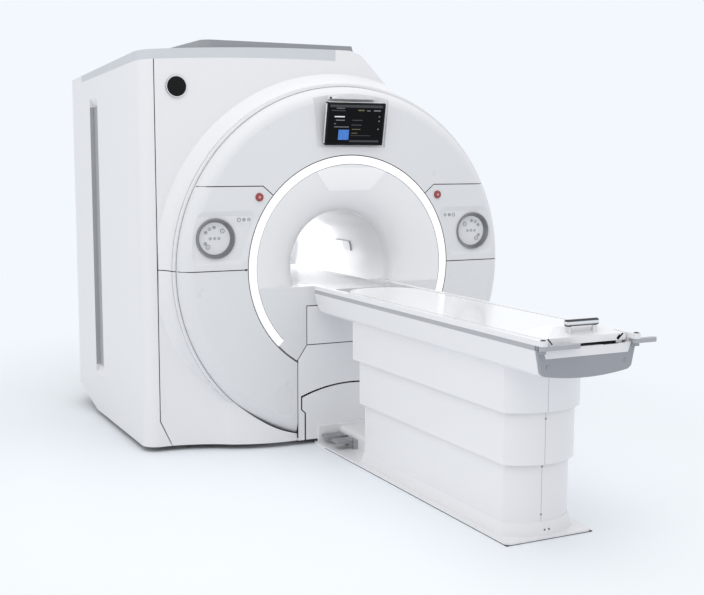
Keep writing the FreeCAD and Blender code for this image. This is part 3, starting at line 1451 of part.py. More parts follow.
def end_panel():
    """Grey end panel with its two screws and the feet and pins of the swing handles."""
    face = raised(skirt_section(3, TABLE_FOOT), (0, -END_PANEL_T, 0))
    opening = raised(
        wire(
            lambda x, z: V(x, table_y(TABLE_FOOT), z),
            (-CHANNEL_END_TOP, STRIP_Z + 5), (-CHANNEL_END_LOW, CHANNEL_END_Z),
            (CHANNEL_END_LOW, CHANNEL_END_Z), (CHANNEL_END_TOP, STRIP_Z + 5),
        ),
        (0, -END_PANEL_T, 0),
    )
    holes = [
        rod((s * END_SCREW_X, table_y(TABLE_FOOT), END_SCREW_Z), (0, -1, 0), SCREW_R, BIG) for s in (-1, 1)
    ]
    return Part.makeCompound([face.cut([opening, *holes]), *end_screws(), *handle_pins()])


def end_screws():
    """Two screws through the end panel."""
    pieces = []
    face = table_y(TABLE_FOOT + END_PANEL_T)
    for x in (-END_SCREW_X, END_SCREW_X):
        shank = rod((x, table_y(TABLE_FOOT), END_SCREW_Z), (0, -1, 0), SCREW_R, END_PANEL_T)
        head = rod((x, face, END_SCREW_Z), (0, -1, 0), SCREW_HEAD_R, SCREW_HEAD_T)
        pieces.append(joined([shank, head]))
    return pieces


HANDLE_Z = TABLE_TOP_Z - RIM_H - PANEL_CLEAR - HANDLE_H


def handle_pins():
    """Upright pins of the swing handles, each on a foot fixed to the end panel."""
    pins = []
    for s in (-1, 1):
        y = table_y(TABLE_FOOT + HANDLE_OUT)
        x = s * HANDLE_X
        pin = rod((x, y, HANDLE_Z - FOOT_H), (0, 0, 1), HANDLE_PIN_R,
                  TABLE_TOP_Z + PIN_CAP_T - HANDLE_Z + FOOT_H)
        cap = rod((x, y, TABLE_TOP_Z), (0, 0, 1), PIN_CAP_R, PIN_CAP_T)
        foot = box((x - FOOT_HALF_W, x + FOOT_HALF_W),
                   (y - FOOT_HALF_W, table_y(TABLE_FOOT + END_PANEL_T)),
                   (HANDLE_Z - FOOT_H, HANDLE_Z - PANEL_CLEAR))
        pins.append(joined([pin, cap, foot]))
    return pins


def swing_handle(s, length):
    """A handle whose arm points to +X from its pivot."""
    x = s * HANDLE_X
    y = table_y(TABLE_FOOT + HANDLE_OUT)
    hub = rod((x, y, HANDLE_Z), (0, 0, 1), HANDLE_W / 2 + HUB_ROUND, HANDLE_H)
    arm = box((x, x + length - HANDLE_W / 2), (y - HANDLE_W / 2, y + HANDLE_W / 2),
              (HANDLE_Z, HANDLE_Z + HANDLE_H))
    tip = rod((x + length - HANDLE_W / 2, y, HANDLE_Z), (0, 0, 1), HANDLE_W / 2, HANDLE_H)
    bore = rod((x, y, 0), (0, 0, 1), HANDLE_PIN_R + PIN_CLEAR, BIG)
    return joined([hub, arm, tip]).cut(bore)


def cradle():
    """Long flat cradle with a rounded head end and a raised foot end."""
    z0 = CHANNEL_Z + CRADLE_SLIP
    nose = CRADLE_HALF * NOSE_SHARE

    def lay(x, distance):
        return V(x, table_y(distance), z0)

    board = raised(
        wire(
            lay,
            (-CRADLE_HALF, CRADLE_HEAD + nose),
            ((-CRADLE_HALF * 0.7, CRADLE_HEAD + nose * 0.29), (0, CRADLE_HEAD)),
            ((CRADLE_HALF * 0.7, CRADLE_HEAD + nose * 0.29), (CRADLE_HALF, CRADLE_HEAD + nose)),
            (CRADLE_HALF, TABLE_FOOT - CRADLE_END),
            (-CRADLE_HALF, TABLE_FOOT - CRADLE_END),
        ),
        (0, 0, CRADLE_T),
    )
    return joined([board, cradle_hood()])


def cradle_hood():
    """Raised foot end of the cradle, under the grip."""
    z0 = CHANNEL_Z + CRADLE_SLIP + CRADLE_T
    y0 = TABLE_FOOT - HOOD_LENGTH
    outline = wire(
        lambda y, z: V(-HOOD_HALF, table_y(y), z),
        (y0 - HOOD_FOOT, z0), (y0 + HOOD_RAMP, HOOD_TOP_Z),
        (TABLE_FOOT - HOOD_BACK, HOOD_TOP_Z), (TABLE_FOOT - 2 * CRADLE_END, z0),
    )
    block = raised(outline, (2 * HOOD_HALF, 0, 0))
    trim = raised(
        wire(
            lambda x, z: V(x, table_y(TABLE_FOOT), z),
            (-HOOD_HALF, z0), (-HOOD_TOP_HALF, HOOD_TOP_Z), (HOOD_TOP_HALF, HOOD_TOP_Z), (HOOD_HALF, z0),
        ),
        (0, HOOD_LENGTH * 2, 0),
    )
    holes = [rod((s * GRIP_HALF, table_y(GRIP_Y), 0), (0, 0, 1), GRIP_LEG_R, BIG) for s in (-1, 1)]
    return block.common(trim).cut(holes)


def cradle_grip():
    """Chrome grip: a bar on two legs."""
    z0 = CHANNEL_Z + CRADLE_SLIP + CRADLE_T
    legs = [rod((s * GRIP_HALF, table_y(GRIP_Y), z0), (0, 0, 1), GRIP_LEG_R, GRIP_Z - z0) for s in (-1, 1)]
    bar = rod((-GRIP_HALF - GRIP_BAR_R, table_y(GRIP_Y), GRIP_Z), (1, 0, 0), GRIP_BAR_R,
              2 * (GRIP_HALF + GRIP_BAR_R))
    return joined([bar, *legs])


# ---- column ---------------------------------------------------------------------------
def upper_column_cover():
    return column_cover(UPPER_HALF, UPPER_END, UPPER_REAR, MIDDLE_TOP_Z, STRIP_Z - DECK_T)


def middle_column_cover():
    return column_cover(MIDDLE_HALF, MIDDLE_END, MIDDLE_REAR, LOWER_TOP_Z, MIDDLE_TOP_Z + COVER_LAP)


def lower_column_cover():
    return column_cover(LOWER_HALF, LOWER_END, LOWER_REAR, PLINTH_TOP_Z, LOWER_TOP_Z + COVER_LAP)


def table_plinth():
    """Sloped surround where the column meets the base."""
    def grown(by, z):
        return column_plan(LOWER_HALF + by, LOWER_END + by, LOWER_REAR - by, z)

    block = Part.makeLoft([grown(PLINTH_MARGIN, BASE_T), grown(PLINTH_LAND, PLINTH_TOP_Z)], True, True)
    opening = raised(grown(-COLUMN_T, 0), (0, 0, BIG))
    return block.cut(opening)


def table_base():
    """Floor plate of the table with the plinth of the column, running back to the gantry."""
    plate = rounded_box((-BASE_HALF, BASE_HALF), (table_y(BASE_END), table_y(-BASE_REAR)), (0, BASE_T),
                        BASE_ROUND, (0, 0, 1))
    holes = [
        rod((s * TABLE_ANCHOR_X, table_y(y), -1), (0, 0, 1), TABLE_ANCHOR_R, BASE_T + 2)
        for s in (-1, 1) for y in (TABLE_ANCHOR_NEAR, TABLE_ANCHOR_FAR)
    ]
    return joined([plate.cut(holes), table_plinth()])


def square_tube(y, width, low, high):
    outer = box((-width / 2, width / 2), (table_y(y) - width / 2, table_y(y) + width / 2), (low, high))
    inner_w = width - 2 * POST_T
    inner = box((-inner_w / 2, inner_w / 2), (table_y(y) - inner_w / 2, table_y(y) + inner_w / 2),
                (low - 1, high + 1))
    return outer.cut(inner)


POST_STAGE = 2 * (POST_T + POST_SLIP)
OUTER_TUBE_TOP = LOWER_TOP_Z
MIDDLE_TUBE_LOW = OUTER_TUBE_TOP - POST_LAP
MIDDLE_TUBE_TOP = MIDDLE_TUBE_LOW + OUTER_TUBE_TOP
INNER_TUBE_LOW = MIDDLE_TUBE_TOP - POST_LAP


def lift_outer_tubes():
    """Fixed stage of the two telescopic lift posts, welded to their foot plates."""
    tubes = []
    half = POST_W / 2 + POST_FOOT_OUT
    z1 = BASE_T + POST_FOOT_T
    for y in (POST_A_Y, POST_B_Y):
        foot = box((-half, half), (table_y(y) - half, table_y(y) + half), (BASE_T, z1))
        tubes.append(joined([square_tube(y, POST_W, z1, OUTER_TUBE_TOP), foot]))
    return Part.makeCompound(tubes)


def lift_middle_tubes():
    """Middle stage of the lift posts, each with the plate that carries the middle cover."""
    tubes = [square_tube(y, POST_W - POST_STAGE, MIDDLE_TUBE_LOW, MIDDLE_TUBE_TOP)
             for y in (POST_A_Y, POST_B_Y)]
    return Part.makeCompound([joined([t, b]) for t, b in zip(tubes, middle_cover_brackets())])


def lift_inner_posts():
    """Inner stage of the lift posts, under the deck."""
    tubes = [square_tube(y, POST_W - 2 * POST_STAGE, INNER_TUBE_LOW, STRIP_Z - DECK_T)
             for y in (POST_A_Y, POST_B_Y)]
    return Part.makeCompound(tubes)


def middle_cover_brackets():
    """Plates that carry the middle cover on the middle stage of the lift."""
    z1 = MIDDLE_TOP_Z + COVER_LAP
    width = MIDDLE_HALF - COLUMN_T
    parts = []
    for y in (POST_A_Y, POST_B_Y):
        parts.append(box((-width, width), (table_y(y) - BRACKET_W / 2, table_y(y) + BRACKET_W / 2),
                         (z1 - BRACKET_T, z1)))
    tube = POST_W - POST_STAGE
    holes = [
        box((-tube / 2, tube / 2), (table_y(y) - tube / 2, table_y(y) + tube / 2), (0, BIG))
        for y in (POST_A_Y, POST_B_Y)
    ]
    return [p.cut(holes) for p in parts]


def lift_drive():
    """Lift motor and pump between the posts."""
    y = table_y((POST_A_Y + POST_B_Y) / 2)
    near = y + PUMP_NEAR
    block = box((-PUMP_HALF, PUMP_HALF), (y - PUMP_FAR, near), (BASE_T, PUMP_TOP))
    motor = rod((0, near, MOTOR_Z), (0, 1, 0), MOTOR_R, MOTOR_L)
    foot = box((-MOTOR_FOOT_HALF, MOTOR_FOOT_HALF),
               (near + MOTOR_FOOT_GAP, near + MOTOR_L - MOTOR_FOOT_GAP), (BASE_T, MOTOR_FOOT_TOP))
    return joined([block, motor, foot])


def dock_housing():
    """Upright block at the gantry end of the base, with the hood of the pedals."""
    block = box((-DOCK_HALF, DOCK_HALF), (table_y(DOCK_T + DOCK_GAP), table_y(DOCK_GAP)),
                (BASE_T, DOCK_TOP_Z))
    return joined([block, pedal_hood()])


def pedal_hood():
    """White hood between the docking block and the column, with the pedals' shaft ears."""
    y0 = table_y(DOCK_GAP + DOCK_T)
    y1 = table_y(LOWER_REAR - PLINTH_MARGIN)
    block = box((-HOOD_LOW_X, HOOD_LOW_X), (y1, y0), (BASE_T, HOOD_HIGH_Z))
    edges = [e for e in block.Edges if e.BoundBox.YLength > 10 and e.BoundBox.ZMax > HOOD_HIGH_Z - 1
             and e.BoundBox.ZMin > HOOD_HIGH_Z - 1]
    return block.makeFillet(HOOD_EDGE, edges)


def pedal_shaft():
    """Shaft of the two pedals, on three bearing blocks beside the hood."""
    x = -HOOD_LOW_X - PEDAL_SHAFT_OUT
    y0 = table_y(PEDAL_B_Y + PEDAL_W / 2 + PEDAL_BLOCK_T + PANEL_CLEAR)
    y1 = table_y(DOCK_GAP + DOCK_T)
    shaft = rod((x, y0, PEDAL_Z), (0, 1, 0), PEDAL_SHAFT_R, y1 - y0)
    blocks = []
    for y in (y0, table_y((PEDAL_A_Y + PEDAL_B_Y) / 2 + PEDAL_BLOCK_T / 2)):
        blocks.append(box((x - PEDAL_BLOCK_W, -HOOD_LOW_X), (y, y + PEDAL_BLOCK_T),
                          (BASE_T, PEDAL_Z + PEDAL_BLOCK_W)))
    return joined([shaft, *blocks])


def pedal(y):
    """Foot pedal: a rounded grey paddle with a hub on the shaft."""
    x0 = -PEDAL_X - PEDAL_L / 2
    hub_x = -HOOD_LOW_X - PEDAL_SHAFT_OUT
    paddle = rounded_box((x0, hub_x), (table_y(y) - PEDAL_W / 2, table_y(y) + PEDAL_W / 2),
                         (PEDAL_Z - PEDAL_T / 2, PEDAL_Z + PEDAL_T / 2), PEDAL_T / 2 - 1, (0, 1, 0))
    hub = rod((hub_x, table_y(y) - PEDAL_W / 2, PEDAL_Z), (0, 1, 0), PEDAL_HUB_R, PEDAL_W)
    bore = rod((hub_x, -BIG, PEDAL_Z), (0, 1, 0), PEDAL_SHAFT_R + PIN_CLEAR, 2 * BIG)
    return joined([paddle, hub]).cut(bore)


# ---- export ---------------------------------------------------------------------------
def pair(shape):
    """A piece and its mirror image on the other side of the bore."""
    return Part.makeCompound([shape, mirrored(shape)])


NODES = {
    "front_cover_upper": front_cover_upper,
    "front_cover_lower_left": front_cover_lower_left,
    "front_cover_lower_right": front_cover_lower_right,
    "left_side_cover": left_side_cover,
    "right_side_cover": right_side_cover,
    "rear_cover": rear_cover,
    "top_cover": top_cover,
    "turret_cover": turret_cover,
    "side_inlay": side_inlay,
    "upper_front_panel": upper_front_panel,
    "left_control_panel": left_control_panel,
    "right_control_panel": lambda: mirrored(left_control_panel()),
    "lower_front_panels": lambda: pair(left_lower_panel()),
    "light_ring": light_ring,
    "front_flare": front_flare,
    "positioning_light_panel": positioning_light_panel,
    "bridge_cover": bridge_cover,
    "docking_panels": lambda: Part.makeCompound([docking_panel_upper(), docking_panel_lower()]),
    "docking_flap": docking_flap,
    "bore_tube": bore_tube,
    "rear_flare": rear_flare,
    "bore_bridge": bore_bridge,
    "bore_wall_unit": bore_wall_unit,
    "dial_bezels": lambda: pair(left_dial_bezel()),
    "keypads": keypads,
    "stop_collars": lambda: pair(left_stop_collar()),
    "left_stop_button": left_stop_button,
    "right_stop_button": lambda: mirrored(left_stop_button()),
    "round_badge": round_badge,
    "display_housing": display_housing,
    "display_glass": display_glass,
    "display_bracket": display_bracket,
    "cryostat_vessel": cryostat_vessel,
    "gradient_coil": gradient_coil,
    "body_coil": body_coil,
    "cold_head": cold_head,
    "base_frame": base_frame,
    "cover_frame": cover_frame,
    "table_base": table_base,
    "dock_housing": dock_housing,
    "pedal_shaft": pedal_shaft,
    "near_pedal": lambda: pedal(PEDAL_A_Y),
    "far_pedal": lambda: pedal(PEDAL_B_Y),
    "lower_column_cover": lower_column_cover,
    "middle_column_cover": middle_column_cover,
    "upper_column_cover": upper_column_cover,
    "lift_outer_tubes": lift_outer_tubes,
    "lift_middle_tubes": lift_middle_tubes,
    "lift_inner_posts": lift_inner_posts,
    "lift_drive": lift_drive,
    "table_skirt": table_skirt,
    "table_deck": table_deck,
    "cradle_drive": cradle_drive,
    "side_strips": side_strips,
    "table_rims": table_rims,
    "end_panel": end_panel,
    "left_swing_handle": lambda: swing_handle(-1, HANDLE_LEFT_L),
    "right_swing_handle": lambda: swing_handle(1, HANDLE_RIGHT_L),
    "cradle": cradle,
    "cradle_grip": cradle_grip,
}
if __name__ == "__main__":
    os.makedirs("parts", exist_ok=True)
    for name, make in NODES.items():
        make().exportStep(f"parts/{name}.step")
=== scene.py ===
import bpy
import math
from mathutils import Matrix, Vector


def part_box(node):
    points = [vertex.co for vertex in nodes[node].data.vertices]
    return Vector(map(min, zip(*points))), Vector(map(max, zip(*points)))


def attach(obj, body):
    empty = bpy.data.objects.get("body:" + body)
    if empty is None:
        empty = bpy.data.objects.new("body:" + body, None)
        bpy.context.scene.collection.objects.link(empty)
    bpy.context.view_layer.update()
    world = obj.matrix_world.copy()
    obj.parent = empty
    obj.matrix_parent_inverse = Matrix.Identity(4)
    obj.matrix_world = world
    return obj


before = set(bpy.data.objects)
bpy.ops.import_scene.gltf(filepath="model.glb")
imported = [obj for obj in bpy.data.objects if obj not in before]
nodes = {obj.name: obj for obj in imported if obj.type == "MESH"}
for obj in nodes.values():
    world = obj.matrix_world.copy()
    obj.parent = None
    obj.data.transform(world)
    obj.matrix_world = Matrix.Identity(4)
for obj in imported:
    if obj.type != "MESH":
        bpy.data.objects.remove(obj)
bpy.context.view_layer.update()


# Base frame: two steel rails, cross members and saddles welded into one, sprayed with
# grey enamel. It stands on the floor, hidden by the covers, and carries the magnet.
def from_screen(red, green, blue):
    """A colour as it is seen on a screen, 0 to 255, turned into light."""
    out = []
    for part in (red, green, blue):
        part = part / 255
        out.append(part / 12.92 if part <= 0.04045 else ((part + 0.055) / 1.055) ** 2.4)
    return out


MIX_FIRST, MIX_SECOND, MIX_RESULT = 6, 7, 2     # a Mix node's sockets for colour
HANDLING = 6                # the gloss changes over patches this much finer than the tone's
GLOSS_SPREAD = 0.08
GRAIN_DEPTH = 0.0004


def finish(name, colour, rough, tone=0.02, patch=1.7, grain=600, bite=0.03, metal=0.0,
           coat=0.0, shine=0.5):
    """A sprayed, moulded or rolled surface: its tone drifts in soft patches, it has a
    fine grain, and its gloss is a little uneven."""
    paint = bpy.data.materials.new(name)
    paint.use_nodes = True
    tree = paint.node_tree
    skin = tree.nodes["Principled BSDF"]
    skin.inputs["Metallic"].default_value = metal
    skin.inputs["Coat Weight"].default_value = coat
    skin.inputs["Coat Roughness"].default_value = 0.08
    skin.inputs["Specular IOR Level"].default_value = shine
    place = tree.nodes.new("ShaderNodeTexCoord")
    drift = tree.nodes.new("ShaderNodeTexNoise")
    drift.inputs["Scale"].default_value = patch
    drift.inputs["Detail"].default_value = 3
    tree.links.new(place.outputs["Object"], drift.inputs["Vector"])
    blend = tree.nodes.new("ShaderNodeMix")
    blend.data_type = "RGBA"
    light = from_screen(*colour)
    blend.inputs[MIX_FIRST].default_value = [c * (1 - tone) for c in light] + [1]
    blend.inputs[MIX_SECOND].default_value = [min(c * (1 + tone), 1) for c in light] + [1]
    tree.links.new(drift.outputs["Fac"], blend.inputs["Factor"])
    tree.links.new(blend.outputs[MIX_RESULT], skin.inputs["Base Color"])
    handled = tree.nodes.new("ShaderNodeTexNoise")
    handled.inputs["Scale"].default_value = patch * HANDLING
    handled.inputs["Detail"].default_value = 4
    tree.links.new(place.outputs["Object"], handled.inputs["Vector"])
    gloss = tree.nodes.new("ShaderNodeMapRange")
    gloss.inputs["To Min"].default_value = rough * (1 - GLOSS_SPREAD)
    gloss.inputs["To Max"].default_value = rough * (1 + GLOSS_SPREAD)
    tree.links.new(handled.outputs["Fac"], gloss.inputs["Value"])
    tree.links.new(gloss.outputs["Result"], skin.inputs["Roughness"])
    pores = tree.nodes.new("ShaderNodeTexNoise")
    pores.inputs["Scale"].default_value = grain
    pores.inputs["Detail"].default_value = 2
    tree.links.new(place.outputs["Object"], pores.inputs["Vector"])
    relief = tree.nodes.new("ShaderNodeBump")
    relief.inputs["Strength"].default_value = bite
    relief.inputs["Distance"].default_value = GRAIN_DEPTH
    tree.links.new(pores.outputs["Fac"], relief.inputs["Height"])
    tree.links.new(relief.outputs["Normal"], skin.inputs["Normal"])
    return paint


def dress(paint, *names):
    """Gives the frame's own parts a finish."""
    for name in names:
        part = nodes[name]
        part.data.materials.clear()
        part.data.materials.append(paint)


frame_enamel = finish("frame enamel", (112, 116, 122), 0.5, tone=0.08, grain=300, bite=0.12)
dress(frame_enamel, "base_frame")

# Magnet vessel and its cold head: welded stainless steel, satin ground. The vessel lies
# in the saddles, and the cold head stands on it under the turret. The pedals' shaft is
# bright steel too.
ground_steel = finish("ground steel", (176, 178, 180), 0.38, tone=0.06, patch=3, bite=0.08,
                      metal=1)
dress(ground_steel, "cryostat_vessel", "cold_head", "pedal_shaft")

# Gradient coil and body coil: copper windings potted in resin, so what shows is the
# mottled amber resin. One sits in the other, inside the vessel's bore.
potting_resin = finish("potting resin", (176, 158, 120), 0.4, tone=0.18, patch=14, bite=0.1)
dress(potting_resin, "gradient_coil", "body_coil")

# Cover ring: a laser cut aluminium plate on eight turned stand-offs, to which the round
# panels are screwed. The lift's tubes and the table's deck are the same drawn aluminium.
drawn_aluminium = finish("drawn aluminium", (196, 198, 200), 0.34, tone=0.05, patch=6,
                         bite=0.06, metal=1)
dress(drawn_aluminium, "cover_frame", "lift_middle_tubes", "lift_inner_posts", "table_deck")

# Body covers: thick moulded shells with a white gelcoat, screwed to the frame from
# behind, so no fixing shows. Their seams are shadow gaps.
cover_white = finish("cover gelcoat", (231, 231, 233), 0.32, tone=0.008, patch=0.7, grain=50,
                     bite=0.015, coat=0.2)
dress(cover_white, "front_cover_upper", "front_cover_lower_left", "front_cover_lower_right",
      "left_side_cover", "right_side_cover", "rear_cover")

# Lid and turret: two grey mouldings screwed down on top of the body. The turret, which
# covers the cold head, is a darker matt grey.
lid_grey = finish("lid grey", (204, 207, 211), 0.42, tone=0.02, patch=1.4, bite=0.05)
turret_grey = finish("turret grey", (146, 149, 153), 0.5, tone=0.03, patch=1.8, bite=0.08)
dress(lid_grey, "top_cover")
dress(turret_grey, "turret_cover")

# Inlay of the long side recess: one matt grey moulded strip, bonded to the recess's floor
# and turned up along its rear wall.
inlay_grey = finish("inlay grey", (170, 172, 175), 0.55, tone=0.03, patch=2.2, bite=0.08)
dress(inlay_grey, "side_inlay")


# Cords in the body's seams: dark strips pressed into the gaps, a little below the surface,
# which paint the seams' shade into their colour. On the round panels' rolled edge the gap is
# shallow, and the cord fills it.
def clear():
    """Nothing stays selected, so that the next step acts on its own piece alone."""
    if bpy.context.object and bpy.context.object.mode != "OBJECT":
        bpy.ops.object.mode_set(mode="OBJECT")
    bpy.ops.object.select_all(action="DESELECT")


def settle(name, body, paint, smooth=True):
    """The active piece is finished: its place goes into its mesh, and it rides on a body."""
    piece = bpy.context.object
    bpy.ops.object.transform_apply(location=True, rotation=True, scale=True)
    piece.name = name
    piece.data.name = name
    if paint is not None:
        piece.data.materials.clear()
        piece.data.materials.append(paint)
    if smooth:
        bpy.ops.object.shade_smooth_by_angle(angle=math.radians(35))
    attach(piece, body)


def block(x, y, z, soft=0.0):
    """One block from three (low, high) pairs, its edges eased."""
    clear()
    middle = [(low + high) / 2 for low, high in (x, y, z)]
    bpy.ops.mesh.primitive_cube_add(size=1, location=middle)
    piece = bpy.context.object
    piece.scale = [high - low for low, high in (x, y, z)]
    bpy.ops.object.transform_apply(location=False, rotation=False, scale=True)
    if soft:
        bpy.ops.object.mode_set(mode="EDIT")
        bpy.ops.mesh.select_all(action="SELECT")
        bpy.ops.mesh.bevel(offset=soft, segments=2)
        bpy.ops.object.mode_set(mode="OBJECT")
    return piece


def gather(pieces):
    """Several pieces are made one."""
    clear()
    for piece in pieces:
        piece.select_set(True)
    bpy.context.view_layer.objects.active = pieces[0]
    if len(pieces) > 1:
        bpy.ops.object.join()
    return bpy.context.object


FRONT = -0.88               # the round panels' face
BODY = FRONT + 0.2          # the body's face
AXIS = 0.985                # the bore's height


def seam_shade_cord(points, width, sunk, face=FRONT):
    """Dark cord laid along a seam, painted shade of the gap: its points are across, up and back
    from the face, and sunk gives how far its near and far sides lie under the surface."""
    runs = []
    for start, end in zip(points, points[1:]):
        across, up, back = (far - near for near, far in zip(start, end))
        length = math.sqrt(across ** 2 + up ** 2 + back ** 2)
        reach = (length + width) / 2
        run = block((-reach, reach), sunk, (-width / 2, width / 2), width / 5)
        if back == 0:
            run.rotation_euler = (0, -math.atan2(up, across), 0)
        else:
            run.rotation_euler = (0, 0, math.atan2(back, across))
        run.location = ((start[0] + end[0]) / 2, face + (start[2] + end[2]) / 2 + run.location.y,
                        (start[1] + end[1]) / 2)
        runs.append(run)
    return gather(runs)


ROLL_START, ROLL_WIDTH, ROLL_DEPTH = 0.910, 0.0778, 0.087


def rolled(x, z):
    """A point of a seam where it runs out over the round panels' rolled edge."""
    share = min(max(math.hypot(x, z - AXIS) - ROLL_START, 0) / ROLL_WIDTH, 1)
    return (x, z, ROLL_DEPTH * (1 - math.sqrt(1 - share ** 2)))


# Black rubber: real on the caps, and painted shade where it lies in seams and gaps.
rubber_and_gap_shade = finish("black rubber and painted gap shade", (24, 25, 27), 0.8, tone=0.15, patch=8, grain=900, bite=0.2,
                     shine=0.15)
SEAM = 0.0044               # width of the cord in a seam
ROLLED_SEAM = 0.0038
UPPER_SEAM = 1.433          # height of the seam over the control panels
LOWER_SEAM = 0.99           # and of the seam under them
SUNK = (0.0018, 0.0100)     # depth of the cord's near and far sides: in the round front
IN_BODY = (0.0015, 0.0055)
IN_STEP = (0.0006, 0.0019)
ON_ROLL = (-0.0005, 0.0010)
UPPER_END = (0.876, 0.871, 0.865, 0.857, 0.847, 0.835, 0.822, 0.808, 0.794)
LOWER_END = (0.984, 0.980, 0.975, 0.968, 0.959, 0.949, 0.938, 0.925, 0.911)
DOCK, NECK = 0.328, 0.273   # half widths of the docking panels, below and above their slant
SHELF, APRON = 0.561, 0.777     # heights of the slant's upper end and of the apron's seam

# The cords below are painted shade: dark strips that stand for the seams' shadow.
seam_shade_cord([(-0.988, 0.040, 0), (-1.05, 0.168, 0), (-1.05, 2.125, 0)], SEAM, IN_BODY, BODY)
settle("side_seam_shade", "gantry", rubber_and_gap_shade)
runs = [seam_shade_cord([(-1.047, LOWER_SEAM, 0), (-1.006, LOWER_SEAM, 0)], SEAM, IN_STEP, BODY)]
for side in (-1, 1):
    runs.append(seam_shade_cord([rolled(side * x, UPPER_SEAM) for x in UPPER_END], ROLLED_SEAM, ON_ROLL))
    runs.append(seam_shade_cord([rolled(side * x, LOWER_SEAM) for x in LOWER_END], ROLLED_SEAM, ON_ROLL))
    runs.append(seam_shade_cord([(side * 0.798, UPPER_SEAM, 0), (side * 0.524, UPPER_SEAM, 0),
                           (side * 0.466, 1.383, 0)], SEAM, SUNK))
    runs.append(seam_shade_cord([(side * 0.915, LOWER_SEAM, 0), (side * 0.617, LOWER_SEAM, 0)],
                          SEAM, SUNK))
    runs.append(seam_shade_cord([(side * DOCK, 0.045, 0), (side * DOCK, 0.48, 0),
                           (side * NECK, SHELF, 0), (side * NECK, APRON, 0), (0, APRON, 0)],
                          SEAM, SUNK))
runs.append(seam_shade_cord([(-NECK, SHELF, 0), (NECK, SHELF, 0)], SEAM, SUNK))
gather(runs)
settle("panel_seam_shade", "gantry", rubber_and_gap_shade)

# Corner filler: a small white moulding under the 45 degree shoulder. It closes the corner
# between the round rim, the shoulder and the body's flat front, flush with the shoulder.
SHOULDER_X, SHOULDER_Z = 0.3695, 1.9435     # a point of the shoulder's slope
FILLER_LENGTH = (-0.064, 0.076)
FILLER_THICKNESS = (-0.0064, -0.0004)
FILLER_PARTS = (            # depth, and where and towards which side the rim cuts it off
    ((-0.735, -0.664), (0.340, -0.693, 0), (-0.038, -0.060, 0)),
    ((-0.768, -0.735), (0.404, -0.741, 0), (-0.026, -0.008, 0)),
)
parts = []
for depth, cut, cut_side in FILLER_PARTS:
    filler = block(FILLER_LENGTH, depth, FILLER_THICKNESS)
    bpy.ops.object.transform_apply(location=True, rotation=False, scale=False)
    filler.rotation_euler = (0, math.radians(45), 0)
    filler.location = (SHOULDER_X, 0, SHOULDER_Z)
    bpy.ops.object.transform_apply(location=True, rotation=True, scale=False)
    bpy.ops.object.mode_set(mode="EDIT")
    bpy.ops.mesh.select_all(action="SELECT")
    bpy.ops.mesh.bisect(plane_co=cut, plane_no=cut_side, clear_outer=True, use_fill=True)
    bpy.ops.object.mode_set(mode="OBJECT")
    parts.append(filler)
gather(parts)
settle("shoulder_filler", "gantry", cover_white)

# Round panels: flat pressings with a rolled rim, in a smoother white than the covers, hung
# on the cover ring. The two beside the bore are dished round their dials. The bridge's
# cover, the buttons' collars and the rear flare match them. The docking panels and their
# flap get a lighter copy of that white, painted light that offsets the shade under the table.
panel_white = finish("panel white", (224, 225, 227), 0.28, tone=0.008, patch=0.6, grain=50,
                     bite=0.012, coat=0.25)
dress(panel_white, "upper_front_panel", "left_control_panel", "right_control_panel",
      "lower_front_panels", "bridge_cover", "stop_collars", "rear_flare")
# Painted light: a lighter copy of the panels' white, against the shade in the bay.
docking_white_lifted = finish("docking white lightened against shade", (234, 235, 237), 0.3, tone=0.008, patch=0.8, grain=50,
                       bite=0.012, coat=0.2)
dress(docking_white_lifted, "docking_panels", "docking_flap")

# Light ring: a milky diffuser over a strip of lamps, lit white, held between two thin
# black strips in its gaps, which are painted shade that darkens the gaps.
glow = bpy.data.materials.new("lit diffuser")
glow.use_nodes = True
tree = glow.node_tree
skin = tree.nodes["Principled BSDF"]
skin.inputs["Base Color"].default_value = (0.9, 0.9, 0.9, 1)
skin.inputs["Roughness"].default_value = 0.4
place = tree.nodes.new("ShaderNodeTexCoord")
lamps = tree.nodes.new("ShaderNodeTexNoise")
lamps.inputs["Scale"].default_value = 5
tree.links.new(place.outputs["Object"], lamps.inputs["Vector"])
level = tree.nodes.new("ShaderNodeMix")
level.data_type = "RGBA"
level.inputs[MIX_FIRST].default_value = (0.86, 0.88, 0.9, 1)
level.inputs[MIX_SECOND].default_value = (0.97, 0.98, 1, 1)
tree.links.new(lamps.outputs["Fac"], level.inputs["Factor"])
tree.links.new(level.outputs[MIX_RESULT], skin.inputs["Emission Color"])
skin.inputs["Emission Strength"].default_value = 0.3
dress(glow, "light_ring")


def hoop(inner, outer, y, start, sweep, steps):
    """A small rectangle spun round the bore's axis, from an angle above the right side."""
    clear()
    middle = ((inner + outer) / 2, (y[0] + y[1]) / 2, 0)
    bpy.ops.mesh.primitive_plane_add(size=1, location=middle)
    piece = bpy.context.object
    piece.scale = (outer - inner, y[1] - y[0], 1)
    bpy.ops.object.transform_apply(location=True, rotation=False, scale=True)
    piece.rotation_euler = (0, -math.radians(start), 0)
    piece.location = (0, 0, AXIS)
    bpy.ops.object.transform_apply(location=True, rotation=True, scale=False)
    bpy.ops.object.mode_set(mode="EDIT")
    bpy.ops.mesh.select_all(action="SELECT")
    bpy.ops.mesh.spin(steps=steps, angle=math.radians(sweep), center=(0, 0, AXIS), axis=(0, 1, 0))
    bpy.ops.mesh.select_all(action="SELECT")
    bpy.ops.mesh.remove_doubles(threshold=0.00001)
    bpy.ops.mesh.normals_make_consistent(inside=False)
    bpy.ops.object.mode_set(mode="OBJECT")
    return piece


